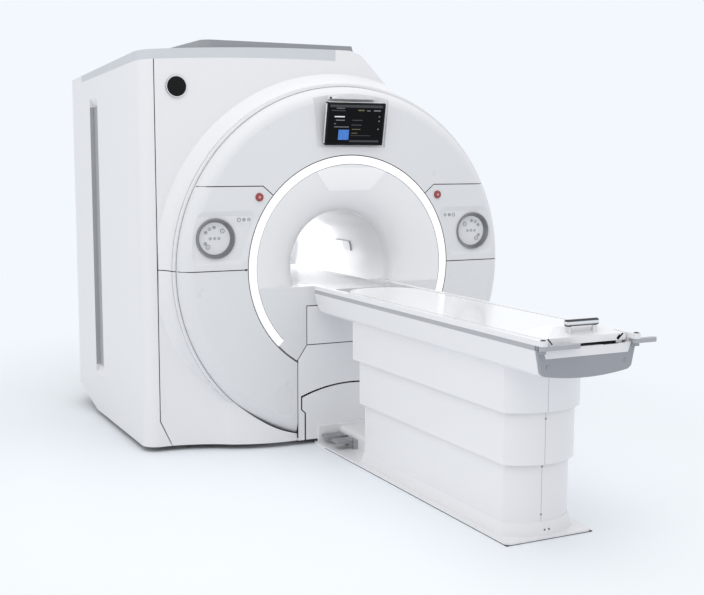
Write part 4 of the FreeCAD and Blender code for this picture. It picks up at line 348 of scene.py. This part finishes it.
# Painted shade: two thin black strips that stand for the shadow in the ring's gaps.
gather([hoop(0.6103, 0.6148, (FRONT + 0.0022, FRONT + 0.012), -56.5, 293, 180),
        hoop(0.5627, 0.5648, (FRONT + 0.003, FRONT + 0.012), -43, 266, 160)])
settle("ring_gap_shade", "gantry", rubber_and_gap_shade)

# Rim seal: a grey rubber cord in the narrow gap between the panels' rolled edge and the
# rim. It stops short of the lowest part.
joint_grey = finish("joint grey", (150, 152, 156), 0.6, tone=0.08, patch=8, bite=0.05)
hoop(0.9856, 0.9878, (FRONT + 0.0800, FRONT + 0.0860), -70, 320, 220)
settle("rim_seal", "gantry", joint_grey)

# Flare, bore tube and bridge: one smooth white lining, wound on a mandrel and sanded, a
# little greyer inside the bore. The thin window over the bore is milky polycarbonate, with a
# faint painted glow that makes it read lighter. A thin glowing strip on the small unit on the
# bore's right wall is painted light that makes the unit read bright white.
flare_white = finish("flare white", (240, 240, 241), 0.24, tone=0.006, patch=0.8, grain=50,
                     bite=0.008, coat=0.35)
bore_white = finish("bore lining", (228, 228, 230), 0.3, tone=0.01, patch=1.0, grain=50,
                    bite=0.012, coat=0.2)
window_milk_glow = finish("window milk with painted glow", (247, 247, 248), 0.18, tone=0.003, patch=2, grain=50,
                      bite=0.004, coat=0.5)
# Painted light: a faint emission that lifts the window above the flare's white.
window_painted_glow = window_milk_glow.node_tree.nodes["Principled BSDF"]
window_painted_glow.inputs["Emission Color"].default_value = (1, 1, 1, 1)
window_painted_glow.inputs["Emission Strength"].default_value = 0.025
dress(flare_white, "front_flare")
dress(bore_white, "bore_tube", "bore_bridge", "bore_wall_unit")
dress(window_milk_glow, "positioning_light_panel")
# Painted light: a glowing strip that brightens the wall unit.
hoop(0.2900, 0.2912, (-0.188, -0.092), 7.5, 9.5, 8)
settle("wall_unit_glow", "gantry", glow)

# Docking flap's gap: a wide black strip that follows the flap's arched top and its
# sides, painted shade that darkens the gap.
FLAP_R = 0.7895             # radius of the flap's arched top
FLAP_MID = -0.458           # height of the arch's centre
FLAP_HALF, FOOT_HALF = 0.3055, 0.2835
FLAP_SHADE_WIDTH, ARCH_SHADE_WIDTH = 0.0084, 0.0086      # width of the dark strip at the sides and over the top
GAP_SUNK = (0.003, 0.0147)
half = math.degrees(math.asin(FLAP_HALF / FLAP_R))
# Painted shade: the black strip stands for the shadow in the flap's gap.
clear()
bpy.ops.mesh.primitive_plane_add(size=1, location=(FLAP_R, FRONT + sum(GAP_SUNK) / 2, 0))
strip = bpy.context.object
strip.scale = (ARCH_SHADE_WIDTH, GAP_SUNK[1] - GAP_SUNK[0], 1)
bpy.ops.object.transform_apply(location=True, rotation=False, scale=True)
strip.rotation_euler = (0, -math.radians(90 - half), 0)
strip.location = (0, 0, FLAP_MID)
bpy.ops.object.transform_apply(location=True, rotation=True, scale=False)
bpy.ops.object.mode_set(mode="EDIT")
bpy.ops.mesh.select_all(action="SELECT")
bpy.ops.mesh.spin(steps=40, angle=math.radians(2 * half), center=(0, 0, FLAP_MID),
                  axis=(0, 1, 0))
bpy.ops.mesh.select_all(action="SELECT")
bpy.ops.mesh.normals_make_consistent(inside=False)
bpy.ops.object.mode_set(mode="OBJECT")
flap_gap = [strip]
for side in (-1, 1):
    flap_gap.append(seam_shade_cord([(side * FLAP_HALF, 0.270, 0), (side * FLAP_HALF, 0.200, 0),
                               (side * FOOT_HALF, 0.180, 0), (side * FOOT_HALF, 0.030, 0)],
                              FLAP_SHADE_WIDTH, GAP_SUNK))
gather(flap_gap)
settle("flap_gap_shade", "gantry", rubber_and_gap_shade)

# Dials: a spun metal cone, satin on its slope, round a membrane keypad of silver grey
# film. Each key has a printed sign: a plain ring round a dot, an arrow head or a lozenge.
satin_metal = finish("satin bezel", (150, 150, 152), 0.36, tone=0.06, patch=9, grain=1500,
                     bite=0.06, metal=1)
keypad_film = finish("keypad film", (225, 226, 228), 0.36, tone=0.02, patch=12, grain=1800,
                     bite=0.08)
sign_ink = finish("sign ink", (64, 66, 70), 0.6, tone=0.1, patch=40, grain=2500, bite=0.1)
dress(satin_metal, "dial_bezels")
dress(keypad_film, "keypads")

DIAL = (0.792, 1.161)       # middle of a dial, across and up
KEY_FACE = FRONT + 0.021
KEY_REACH = 0.058           # from the dial's middle to its outer keys
OUTER_KEYS = ((146, 0.0086), (120, 0.0086), (93, 0.0086), (42, 0.0118), (207, 0.0086),
              (230, 0.0118))        # angle and size of each
STRIP = (0.633, 1.257)      # middle of the oblong key strip
STRIP_FACE = FRONT + 0.0055
INK = 0.0003
ROUND, ARROW, LOZENGE = 16, 3, 4    # sides of the small signs in the rings


def ring_sign(x, z, radius, width, y):
    """A flat ring printed on a key."""
    clear()
    bpy.ops.mesh.primitive_circle_add(vertices=28, radius=radius, fill_type="NGON",
                                      location=(x, y, z), rotation=(math.radians(90), 0, 0))
    bpy.ops.object.mode_set(mode="EDIT")
    bpy.ops.mesh.select_all(action="SELECT")
    bpy.ops.mesh.inset(thickness=width)
    bpy.ops.mesh.delete(type="FACE")
    bpy.ops.mesh.select_all(action="SELECT")
    bpy.ops.mesh.extrude_region_move(TRANSFORM_OT_translate={"value": (0, -INK, 0)})
    bpy.ops.mesh.select_all(action="SELECT")
    bpy.ops.mesh.normals_make_consistent(inside=False)
    bpy.ops.object.mode_set(mode="OBJECT")
    return bpy.context.object


def dot_sign(x, z, radius, y, sides=ROUND):
    """A flat dot, or with few sides an arrow head or a lozenge, printed on a key."""
    clear()
    bpy.ops.mesh.primitive_cylinder_add(vertices=sides, radius=radius, depth=INK,
                                        location=(x, y - INK / 2, z),
                                        rotation=(math.radians(90), 0, 0))
    return bpy.context.object


for side in (-1, 1):
    signs = []
    for count, (angle, size) in enumerate(OUTER_KEYS):
        x = side * (DIAL[0] - KEY_REACH * math.cos(math.radians(angle)))
        z = DIAL[1] + KEY_REACH * math.sin(math.radians(angle))
        signs.append(ring_sign(x, z, size, 0.0022, KEY_FACE))
        signs.append(dot_sign(x, z, 0.0034, KEY_FACE, ARROW if count % 2 else ROUND))
    for place in (-0.024, 0, 0.024):
        x = side * DIAL[0] + place
        signs.append(ring_sign(x, DIAL[1], 0.0074, 0.0018, KEY_FACE))
        signs.append(dot_sign(x, DIAL[1], 0.003, KEY_FACE, LOZENGE))
    for place in (-0.028, 0, 0.028):
        x = side * STRIP[0] + place
        size = 0.0112 if place * side > 0 else 0.0088
        signs.append(ring_sign(x, STRIP[1], size, 0.0026, STRIP_FACE))
        signs.append(dot_sign(x, STRIP[1], 0.003, STRIP_FACE, ARROW if place else ROUND))
    gather(signs)
    settle("left_key_signs" if side < 0 else "right_key_signs", "gantry", sign_ink)

# Stop buttons: red mushroom caps of moulded resin in white collars, with a small pale mark
# printed on the middle of each.
stop_red = finish("stop red", (150, 56, 58), 0.34, tone=0.06, patch=20, bite=0.03, coat=0.5)
dress(stop_red, "left_stop_button", "right_stop_button")
stop_mark = finish("stop mark", (214, 164, 162), 0.4, tone=0.05, patch=40, bite=0.05)


def turned(where, outline, faces=40, up=False):
    """A small turned part that faces the front, or upwards, from its radii and heights."""
    clear()
    bpy.ops.mesh.primitive_circle_add(vertices=faces, radius=outline[0][0], fill_type="NGON",
                                      location=(0, 0, outline[0][1]))
    bpy.ops.object.mode_set(mode="EDIT")
    bpy.ops.mesh.select_all(action="SELECT")
    for (radius, height), (next_radius, next_height) in zip(outline, outline[1:]):
        rise = (0, 0, next_height - height)
        bpy.ops.mesh.extrude_region_move(TRANSFORM_OT_translate={"value": rise})
        share = next_radius / radius
        bpy.ops.transform.resize(value=(share, share, 1), center_override=(0, 0, 0))
    bpy.ops.mesh.select_all(action="SELECT")
    bpy.ops.mesh.normals_make_consistent(inside=False)
    bpy.ops.object.mode_set(mode="OBJECT")
    piece = bpy.context.object
    bpy.ops.object.transform_apply(location=True, rotation=False, scale=False)
    piece.rotation_euler = (0 if up else math.radians(90), 0, 0)
    piece.location = where
    return piece


STOP = (0.547, -0.8887, 1.375)      # the front of a button
STOP_MARK = [(0.0066, 0), (0.0066, 0.0008), (0.0058, 0.0012), (0.0030, 0.0013)]
for side, body in ((-1, "left_stop"), (1, "right_stop")):
    turned((side * STOP[0], STOP[1], STOP[2]), STOP_MARK)
    settle(body + "_mark", body, stop_mark)

# Round badge: a blank, slightly domed disc of black lacquer in a silver rim, bonded to the
# front cover.
badge_black = finish("badge lacquer", (17, 18, 20), 0.3, tone=0.2, patch=30, bite=0.01, shine=0.15)
cap_silver = finish("cap silver", (224, 225, 227), 0.3, tone=0.02, patch=6, bite=0.03)
dress(badge_black, "round_badge")
low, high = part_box("round_badge")
badge = ((low[0] + high[0]) / 2, low[1], (low[2] + high[2]) / 2)
radius = (high[0] - low[0]) / 2
turned(badge, [(radius - 0.0005, 0), (radius, 0.0008), (radius, 0.0020), (radius - 0.0012, 0.0030),
               (radius - 0.0040, 0.0030), (radius - 0.0046, 0.0018)], faces=72)
settle("badge_rim", "gantry", cap_silver)
turned(badge, [(radius - 0.0047, 0.0016), (radius - 0.0051, 0.0022), (0.042, 0.0030),
               (0.028, 0.0037), (0.012, 0.0041), (0.003, 0.0042)], faces=72)
settle("badge_dome", "gantry", badge_black)

# Display: a black moulded case with a silver band round its edge and a dark cover glass.
# The screen behind it is lit: plain bars in place of writing, and one blue square.
case_black = finish("case black", (20, 20, 22), 0.5, tone=0.15, patch=12, grain=1200, bite=0.1,
                    shine=0.2)
cover_glass = finish("cover glass", (9, 9, 11), 0.1, tone=0.1, patch=8, bite=0.0, shine=0.1)
dress(case_black, "display_housing")
dress(cap_silver, "display_bracket")
dress(cover_glass, "display_glass")

LEAN = math.radians(11)     # how far the screen leans, from upright
SCREEN = (0, FRONT - 0.046, 1.764)      # the middle of its glass
BAND_SIDE = (0.1758, 0.1766)
BAND_END = (0.1158, 0.1166)
BAND_DEPTH = (0.005, 0.021)
GLASS = (0.0001, 0.0005)


def screen_block(u, v, depth, soft=0.0):
    """A block given on the screen: across, up, and behind its glass."""
    piece = block(u, depth, v, soft)
    bpy.ops.object.transform_apply(location=True, rotation=True, scale=True)
    piece.rotation_euler = (LEAN, 0, 0)
    piece.location = SCREEN
    bpy.ops.object.transform_apply(location=True, rotation=True, scale=True)
    return piece


band = []
for side in (-1, 1):
    u, v = sorted(side * edge for edge in BAND_SIDE), sorted(side * edge for edge in BAND_END)
    band.append(screen_block(u, (-0.108, 0.108), BAND_DEPTH, 0.0003))
    band.append(screen_block((-0.168, 0.168), v, BAND_DEPTH, 0.0003))
gather(band)
settle("display_band", "display", cap_silver)


def lit(name, colour, strength):
    """A lit part of the screen, its brightness a little uneven."""
    light = finish(name, colour, 0.3, tone=0.25, patch=60, bite=0.0)
    tree = light.node_tree
    skin = tree.nodes["Principled BSDF"]
    source = skin.inputs["Base Color"].links[0].from_socket
    tree.links.new(source, skin.inputs["Emission Color"])
    skin.inputs["Emission Strength"].default_value = strength
    return light


white_text = lit("screen white", (190, 193, 196), 0.6)
grey_text = lit("screen grey", (92, 94, 98), 0.5)
dim_text = lit("screen dim", (44, 45, 48), 0.4)
olive_text = lit("screen olive", (82, 78, 50), 0.5)
picture_blue = lit("screen blue", (48, 96, 164), 0.7)
SCREEN_MARKS = (            # finish, and place across and up the screen
    (white_text, (-0.129, -0.068), (0.0365, 0.0425)),
    (grey_text, (-0.120, -0.066), (0.018, 0.023)),
    (grey_text, (-0.128, -0.040), (-0.018, -0.0135)),
    (grey_text, (-0.121, -0.071), (0.083, 0.087)),
    (dim_text, (-0.150, -0.066), (0.070, 0.075)),
    (grey_text, (-0.129, -0.118), (-0.001, 0.004)),
    (picture_blue, (-0.099, -0.036), (-0.086, -0.031)),
    (olive_text, (0.010, 0.048), (0.072, 0.079)),
    (grey_text, (0.064, 0.085), (0.071, 0.076)),
    (grey_text, (0.106, 0.148), (0.071, 0.078)),
    (dim_text, (-0.020, 0.041), (0.019, 0.024)),
    (dim_text, (-0.024, 0.038), (-0.007, -0.002)),
    (olive_text, (-0.020, 0.033), (-0.030, -0.026)),
    (olive_text, (-0.020, 0.015), (-0.051, -0.047)),
    (dim_text, (-0.025, 0.095), (-0.064, -0.061)),
    (grey_text, (0.139, 0.147), (0.039, 0.046)),
    (grey_text, (0.139, 0.147), (0.015, 0.022)),
    (grey_text, (0.137, 0.145), (-0.030, -0.022)),
    (dim_text, (-0.160, 0.160), (0.090, 0.104)),
    (dim_text, (-0.030, 0.150), (-0.098, -0.088)),
)
drawn = []
for paint, u, v in SCREEN_MARKS:
    mark = screen_block(u, v, GLASS)
    mark.data.materials.append(paint)
    drawn.append(mark)
gather(drawn)
settle("screen_picture", "display", None, smooth=False)

# Small dark plugs: a sensor at the left end of the display's cap, and a cover over the
# screw at each end of the seam under the left control panel.
SENSOR = [(0.0060, -0.002), (0.0060, 0.0006), (0.0050, 0.0016), (0.0025, 0.0021)]
PLUG = [(0.0058, -0.002), (0.0058, 0.0004), (0.0046, 0.0014), (0.0020, 0.0018)]
turned((-0.140, FRONT - 0.0295, 1.903), SENSOR)
settle("cap_sensor", "gantry", case_black)
gather([turned((x, y, LOWER_SEAM), PLUG) for x, y in ((-1.042, BODY), (-0.626, FRONT))])
settle("seam_plugs", "gantry", case_black)

# Table base, plinth and column covers: thin white shells that slide into one another as
# the table goes down, over a steel floor plate. The lift's outer tubes and its drive stand
# inside them, in the frame's enamel.
table_white = finish("table white", (235, 235, 237), 0.3, tone=0.008, patch=0.9, grain=50,
                     bite=0.012, coat=0.2)
dress(table_white, "table_base", "lower_column_cover", "middle_column_cover", "upper_column_cover",
      "dock_housing", "table_skirt", "table_rims")
dress(frame_enamel, "lift_outer_tubes", "lift_drive")

# Joint of each column cover's two halves: a dark line down its foot end, a little left of
# the middle, with small screws. Under the floor plate lies a thin black strip, painted shadow
# that stands for the plate's contact shadow on the floor.
screw_steel = finish("screw steel", (120, 122, 126), 0.35, tone=0.1, patch=30, bite=0.05, metal=1)
SCREW = [(0.0042, -0.001), (0.0042, 0.0010), (0.0034, 0.0018), (0.0018, 0.0018), (0.0016, 0.0010)]
JOINT_X = -0.020
BULGE = 0.070               # how far a column cover's foot end bulges at its middle
COLUMN_JOINTS = (           # half width and end of the cover, joint's rise, screws' heights
    ("upper_cover_joint", "table", 0.1955, 1.802, (0.543, 0.830), ()),
    ("middle_cover_joint", "middle_stage", 0.1807, 1.787, (0.317, 0.541), (0.512,)),
    ("lower_cover_joint", "gantry", 0.1674, 1.769, (0.068, 0.315), (0.303, 0.097)),
)
for name, body, half, end, rise, screws in COLUMN_JOINTS:
    y = FRONT - end - BULGE * (1 - (JOINT_X / half) ** 2)
    block((JOINT_X - 0.0008, JOINT_X + 0.0008), (y - 0.0003, y + 0.0015), rise, 0.0002)
    settle(name, body, joint_grey)
    if screws:
        gather([turned((JOINT_X, y + 0.0004, z), SCREW) for z in screws])
        settle(name + "_screws", body, screw_steel)
gather([turned((x, -2.7300, 0.032), SCREW) for x in (-0.008, 0.014)])
settle("plinth_screws", "gantry", screw_steel)
# Painted shadow: a thin black strip under the plate's edge.
block((-0.2196, 0.2196), (-2.7606, -1.0), (0.0002, 0.0030), 0.0005)
settle("foot_shadow_strip", "gantry", rubber_and_gap_shade)

# Foot pedals: ribbed grey rubber over a steel paddle, hinged on the shaft. The ribs are
# moulded with the rubber.
pedal_rubber = finish("pedal rubber", (150, 152, 156), 0.6, tone=0.06, patch=12, bite=0.15)
dress(pedal_rubber, "near_pedal", "far_pedal")
RIB_PLACES = (0, 0.011, 0.022, 0.033, 0.044, 0.055)
RIB_RISE = (0.0595, 0.0612)
for body in ("near_pedal", "far_pedal"):
    low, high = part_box(body)
    rib_run = (low[1] + 0.010, high[1] - 0.010)
    gather([block((low[0] + 0.012 + place, low[0] + 0.0155 + place), rib_run, RIB_RISE, 0.0006)
            for place in RIB_PLACES])
    settle(body + "_ribs", body, pedal_rubber)

# Pedal bearing's cap: a black rubber plug, pressed into the top of the bearing block
# between the two pedals.
BEARING_CAP = [(0.0062, -0.001), (0.0062, 0.0010), (0.0050, 0.0024), (0.0022, 0.0028)]
turned((-0.097, -1.015, 0.0618), BEARING_CAP, up=True)
settle("bearing_cap", "gantry", rubber_and_gap_shade)

# Belt and pulleys: a black toothed belt of polyurethane over two pulleys, under the cradle,
# which draws it into the bore.
belt_black = finish("belt black", (32, 32, 34), 0.6, tone=0.12, patch=20, bite=0.2)
dress(belt_black, "cradle_drive")

# Side strips, end panel and swing handles: grey extrusions along the table's sides, a
# moulded grey panel screwed to its foot end, and two moulded handles on its pins.
strip_grey = finish("strip grey", (176, 178, 182), 0.42, tone=0.02, patch=4, bite=0.05)
end_grey = finish("end panel grey", (158, 161, 167), 0.46, tone=0.02, patch=3, bite=0.08)
handle_grey = finish("handle grey", (176, 178, 183), 0.4, tone=0.03, patch=6, bite=0.06)
dress(strip_grey, "side_strips")
dress(end_grey, "end_panel")
dress(handle_grey, "left_swing_handle", "right_swing_handle")

# Cradle: a pressed shell of white resin, polished. Its grip is a chromed bar on two feet. The
# dark band along its top and the one lower down are painted reflections, set into its colour by
# height.
cradle_white = finish("cradle white", (242, 242, 244), 0.22, tone=0.004, patch=1.0, grain=50,
                      bite=0.006, coat=0.35)
dress(cradle_white, "cradle")
grip_chrome_painted = finish("grip chrome with painted reflections", (206, 208, 211), 0.16, tone=0.04, patch=20, grain=1500,
                     bite=0.01, metal=1)
# Painted reflection: the chrome's colour runs dark, light and dark up the bar, in place of
# mirrored surroundings.
GRIP_RISE = (0.925, 0.957)
GRIP_PAINTED_REFLECTIONS = ((0.0, 0.72), (0.09, 0.72), (0.13, 0.05), (0.28, 0.10), (0.40, 0.75), (0.66, 0.85),
              (0.76, 0.10), (0.97, 0.04))       # share of the rise, and how bright
tree = grip_chrome_painted.node_tree
skin = tree.nodes["Principled BSDF"]
split = tree.nodes.new("ShaderNodeSeparateXYZ")
tree.links.new(tree.nodes["Texture Coordinate"].outputs["Object"], split.inputs["Vector"])
rise = tree.nodes.new("ShaderNodeMapRange")
rise.inputs["From Min"].default_value, rise.inputs["From Max"].default_value = GRIP_RISE
tree.links.new(split.outputs["Z"], rise.inputs["Value"])
reflection_ramp = tree.nodes.new("ShaderNodeValToRGB")
for place, level in GRIP_PAINTED_REFLECTIONS:
    stop = reflection_ramp.color_ramp.elements.new(place) if place else reflection_ramp.color_ramp.elements[0]
    stop.color = (level, level, level * 1.02, 1)
reflection_ramp.color_ramp.elements[-1].color = (0.04, 0.04, 0.04, 1)
tree.links.new(rise.outputs["Result"], reflection_ramp.inputs["Fac"])
tree.links.new(reflection_ramp.outputs["Color"], skin.inputs["Base Color"])
dress(grip_chrome_painted, "cradle_grip")

# Dark strips at the table's foot end: on the corners of the cradle's end face, and a thin one
# below on the trough's frame, painted shade that stands for the shadow gaps there. A black
# rubber cap sits on each swing handle's pin.
END_FACE = -2.956
ON_FACE = (-0.0012, 0.0)
PIN_CAP = [(0.0088, -0.001), (0.0088, 0.0007), (0.0080, 0.0012), (0.004, 0.0012)]
# Painted shade: slanted black strips for the shadow gaps at the cradle's end corners.
gather([seam_shade_cord([(-0.180, 0.8885, 0), (-0.161, 0.868, 0)], 0.0048, ON_FACE, END_FACE),
        seam_shade_cord([(0.185, 0.8875, 0), (0.164, 0.868, 0)], 0.0066, ON_FACE, END_FACE),
        seam_shade_cord([(0.170, 0.878, 0), (0.163, 0.8715, 0)], 0.0110, ON_FACE, END_FACE)])
settle("cradle_gap_shade", "cradle", rubber_and_gap_shade)
# Painted shadow: a thin black strip along the trough's end.
block((0.074, 0.150), (-2.9747, -2.9738), (0.8528, 0.8552), 0.0003)
settle("trough_shadow_strip", "table", rubber_and_gap_shade)
gather([turned((side * 0.228, -2.990, 0.8935), PIN_CAP, up=True) for side in (-1, 1)])
settle("pin_caps", "table", rubber_and_gap_shade)

# Studio: a pale floor that runs out into a pale backdrop, soft lamps and the camera at
# the photograph's place.
BACKDROP = from_screen(243, 248, 254) + [1]
FLOOR_MIDDLE = -1.1
FLOOR_HALF = (1.5, 2.5)     # the floor shows as such inside this oval, across and along
FADE = (1.0, 2.1)           # from the oval's edge, it turns into backdrop by this many ovals


def seen_directly(tree):
    """A ray of the camera or of a mirror: the node that says so, and the rays' own node."""
    rays = tree.nodes.new("ShaderNodeLightPath")
    either = tree.nodes.new("ShaderNodeMath")
    either.operation = "MAXIMUM"
    tree.links.new(rays.outputs["Is Camera Ray"], either.inputs[0])
    tree.links.new(rays.outputs["Is Glossy Ray"], either.inputs[1])
    return either, rays


clear()
bpy.ops.mesh.primitive_plane_add(size=80)
floor = bpy.context.object
floor.name = "studio_floor"
ground = bpy.data.materials.new("studio floor")
ground.use_nodes = True
tree = ground.node_tree
skin = tree.nodes["Principled BSDF"]
skin.inputs["Base Color"].default_value = from_screen(243, 247, 251) + [1]
skin.inputs["Roughness"].default_value = 0.5
skin.inputs["Specular IOR Level"].default_value = 0.2
place = tree.nodes.new("ShaderNodeTexCoord")
round_it = tree.nodes.new("ShaderNodeMapping")
round_it.inputs["Location"].default_value = (0, -FLOOR_MIDDLE / FLOOR_HALF[1], 0)
round_it.inputs["Scale"].default_value = (1 / FLOOR_HALF[0], 1 / FLOOR_HALF[1], 1)
tree.links.new(place.outputs["Object"], round_it.inputs["Vector"])
far = tree.nodes.new("ShaderNodeVectorMath")
far.operation = "LENGTH"
tree.links.new(round_it.outputs["Vector"], far.inputs[0])
fade = tree.nodes.new("ShaderNodeMapRange")
fade.interpolation_type = "SMOOTHSTEP"
fade.inputs["From Min"].default_value, fade.inputs["From Max"].default_value = FADE
tree.links.new(far.outputs["Value"], fade.inputs["Value"])
seen, rays = seen_directly(tree)
share = tree.nodes.new("ShaderNodeMath")
share.operation = "MULTIPLY"
tree.links.new(fade.outputs["Result"], share.inputs[0])
tree.links.new(seen.outputs[0], share.inputs[1])
backdrop = tree.nodes.new("ShaderNodeEmission")
backdrop.inputs["Color"].default_value = BACKDROP
blend = tree.nodes.new("ShaderNodeMixShader")
tree.links.new(share.outputs[0], blend.inputs["Fac"])
tree.links.new(skin.outputs[0], blend.inputs[1])
tree.links.new(backdrop.outputs[0], blend.inputs[2])
tree.links.new(blend.outputs[0], tree.nodes["Material Output"].inputs["Surface"])
floor.data.materials.append(ground)

sky = bpy.data.worlds.new("studio")
sky.use_nodes = True
bpy.context.scene.world = sky
tree = sky.node_tree
room = tree.nodes["Background"]
room.inputs["Color"].default_value = (0.985, 0.99, 1, 1)
room.inputs["Strength"].default_value = 0.81
view_of = tree.nodes.new("ShaderNodeBackground")
view_of.inputs["Color"].default_value = BACKDROP
seen, rays = seen_directly(tree)
also = tree.nodes.new("ShaderNodeMath")
also.operation = "MAXIMUM"
tree.links.new(seen.outputs[0], also.inputs[0])
tree.links.new(rays.outputs["Is Transmission Ray"], also.inputs[1])
blend = tree.nodes.new("ShaderNodeMixShader")
tree.links.new(also.outputs[0], blend.inputs["Fac"])
tree.links.new(room.outputs[0], blend.inputs[1])
tree.links.new(view_of.outputs[0], blend.inputs[2])
tree.links.new(blend.outputs[0], tree.nodes["World Output"].inputs["Surface"])


def softbox(name, where, aim, size, power, mirrored=False):
    """A square studio lamp with a soft cloth front, which shiny covers mirror only if asked."""
    lamp = bpy.data.lights.new(name, "AREA")
    lamp.size = size
    lamp.energy = power
    holder = bpy.data.objects.new(name, lamp)
    bpy.context.scene.collection.objects.link(holder)
    holder.location = where
    holder.rotation_euler = (Vector(aim) - Vector(where)).to_track_quat("-Z", "Y").to_euler()
    holder.visible_camera = False
    holder.visible_glossy = mirrored


softbox("overhead lamp", (0, -1.6, 5.5), (0, -1.6, 0.9), size=4.0, power=62)
softbox("left lamp", (-6.0, -2.0, 2.6), (0, -1.0, 1.0), size=4.0, power=23.5)
softbox("high lamp", (-2.5, -3.6, 5.2), (0, -0.8, 1.5), size=3.0, power=38)
softbox("bore lamp", (0, 0.55, 1.04), (0, -0.5, 1.0), size=0.4, power=2.5, mirrored=True)

camera = bpy.data.cameras.new("camera")
camera.lens = 58.13
camera.sensor_width = 36
tripod = bpy.data.objects.new("camera", camera)
bpy.context.scene.collection.objects.link(tripod)
tripod.location = (-2.7994, -6.5155, 1.5952)
tripod.rotation_euler = [math.radians(turn) for turn in (90 - 7.12, -0.11, -26.43)]
bpy.context.scene.camera = tripod
bpy.context.scene.view_settings.view_transform = "Standard"
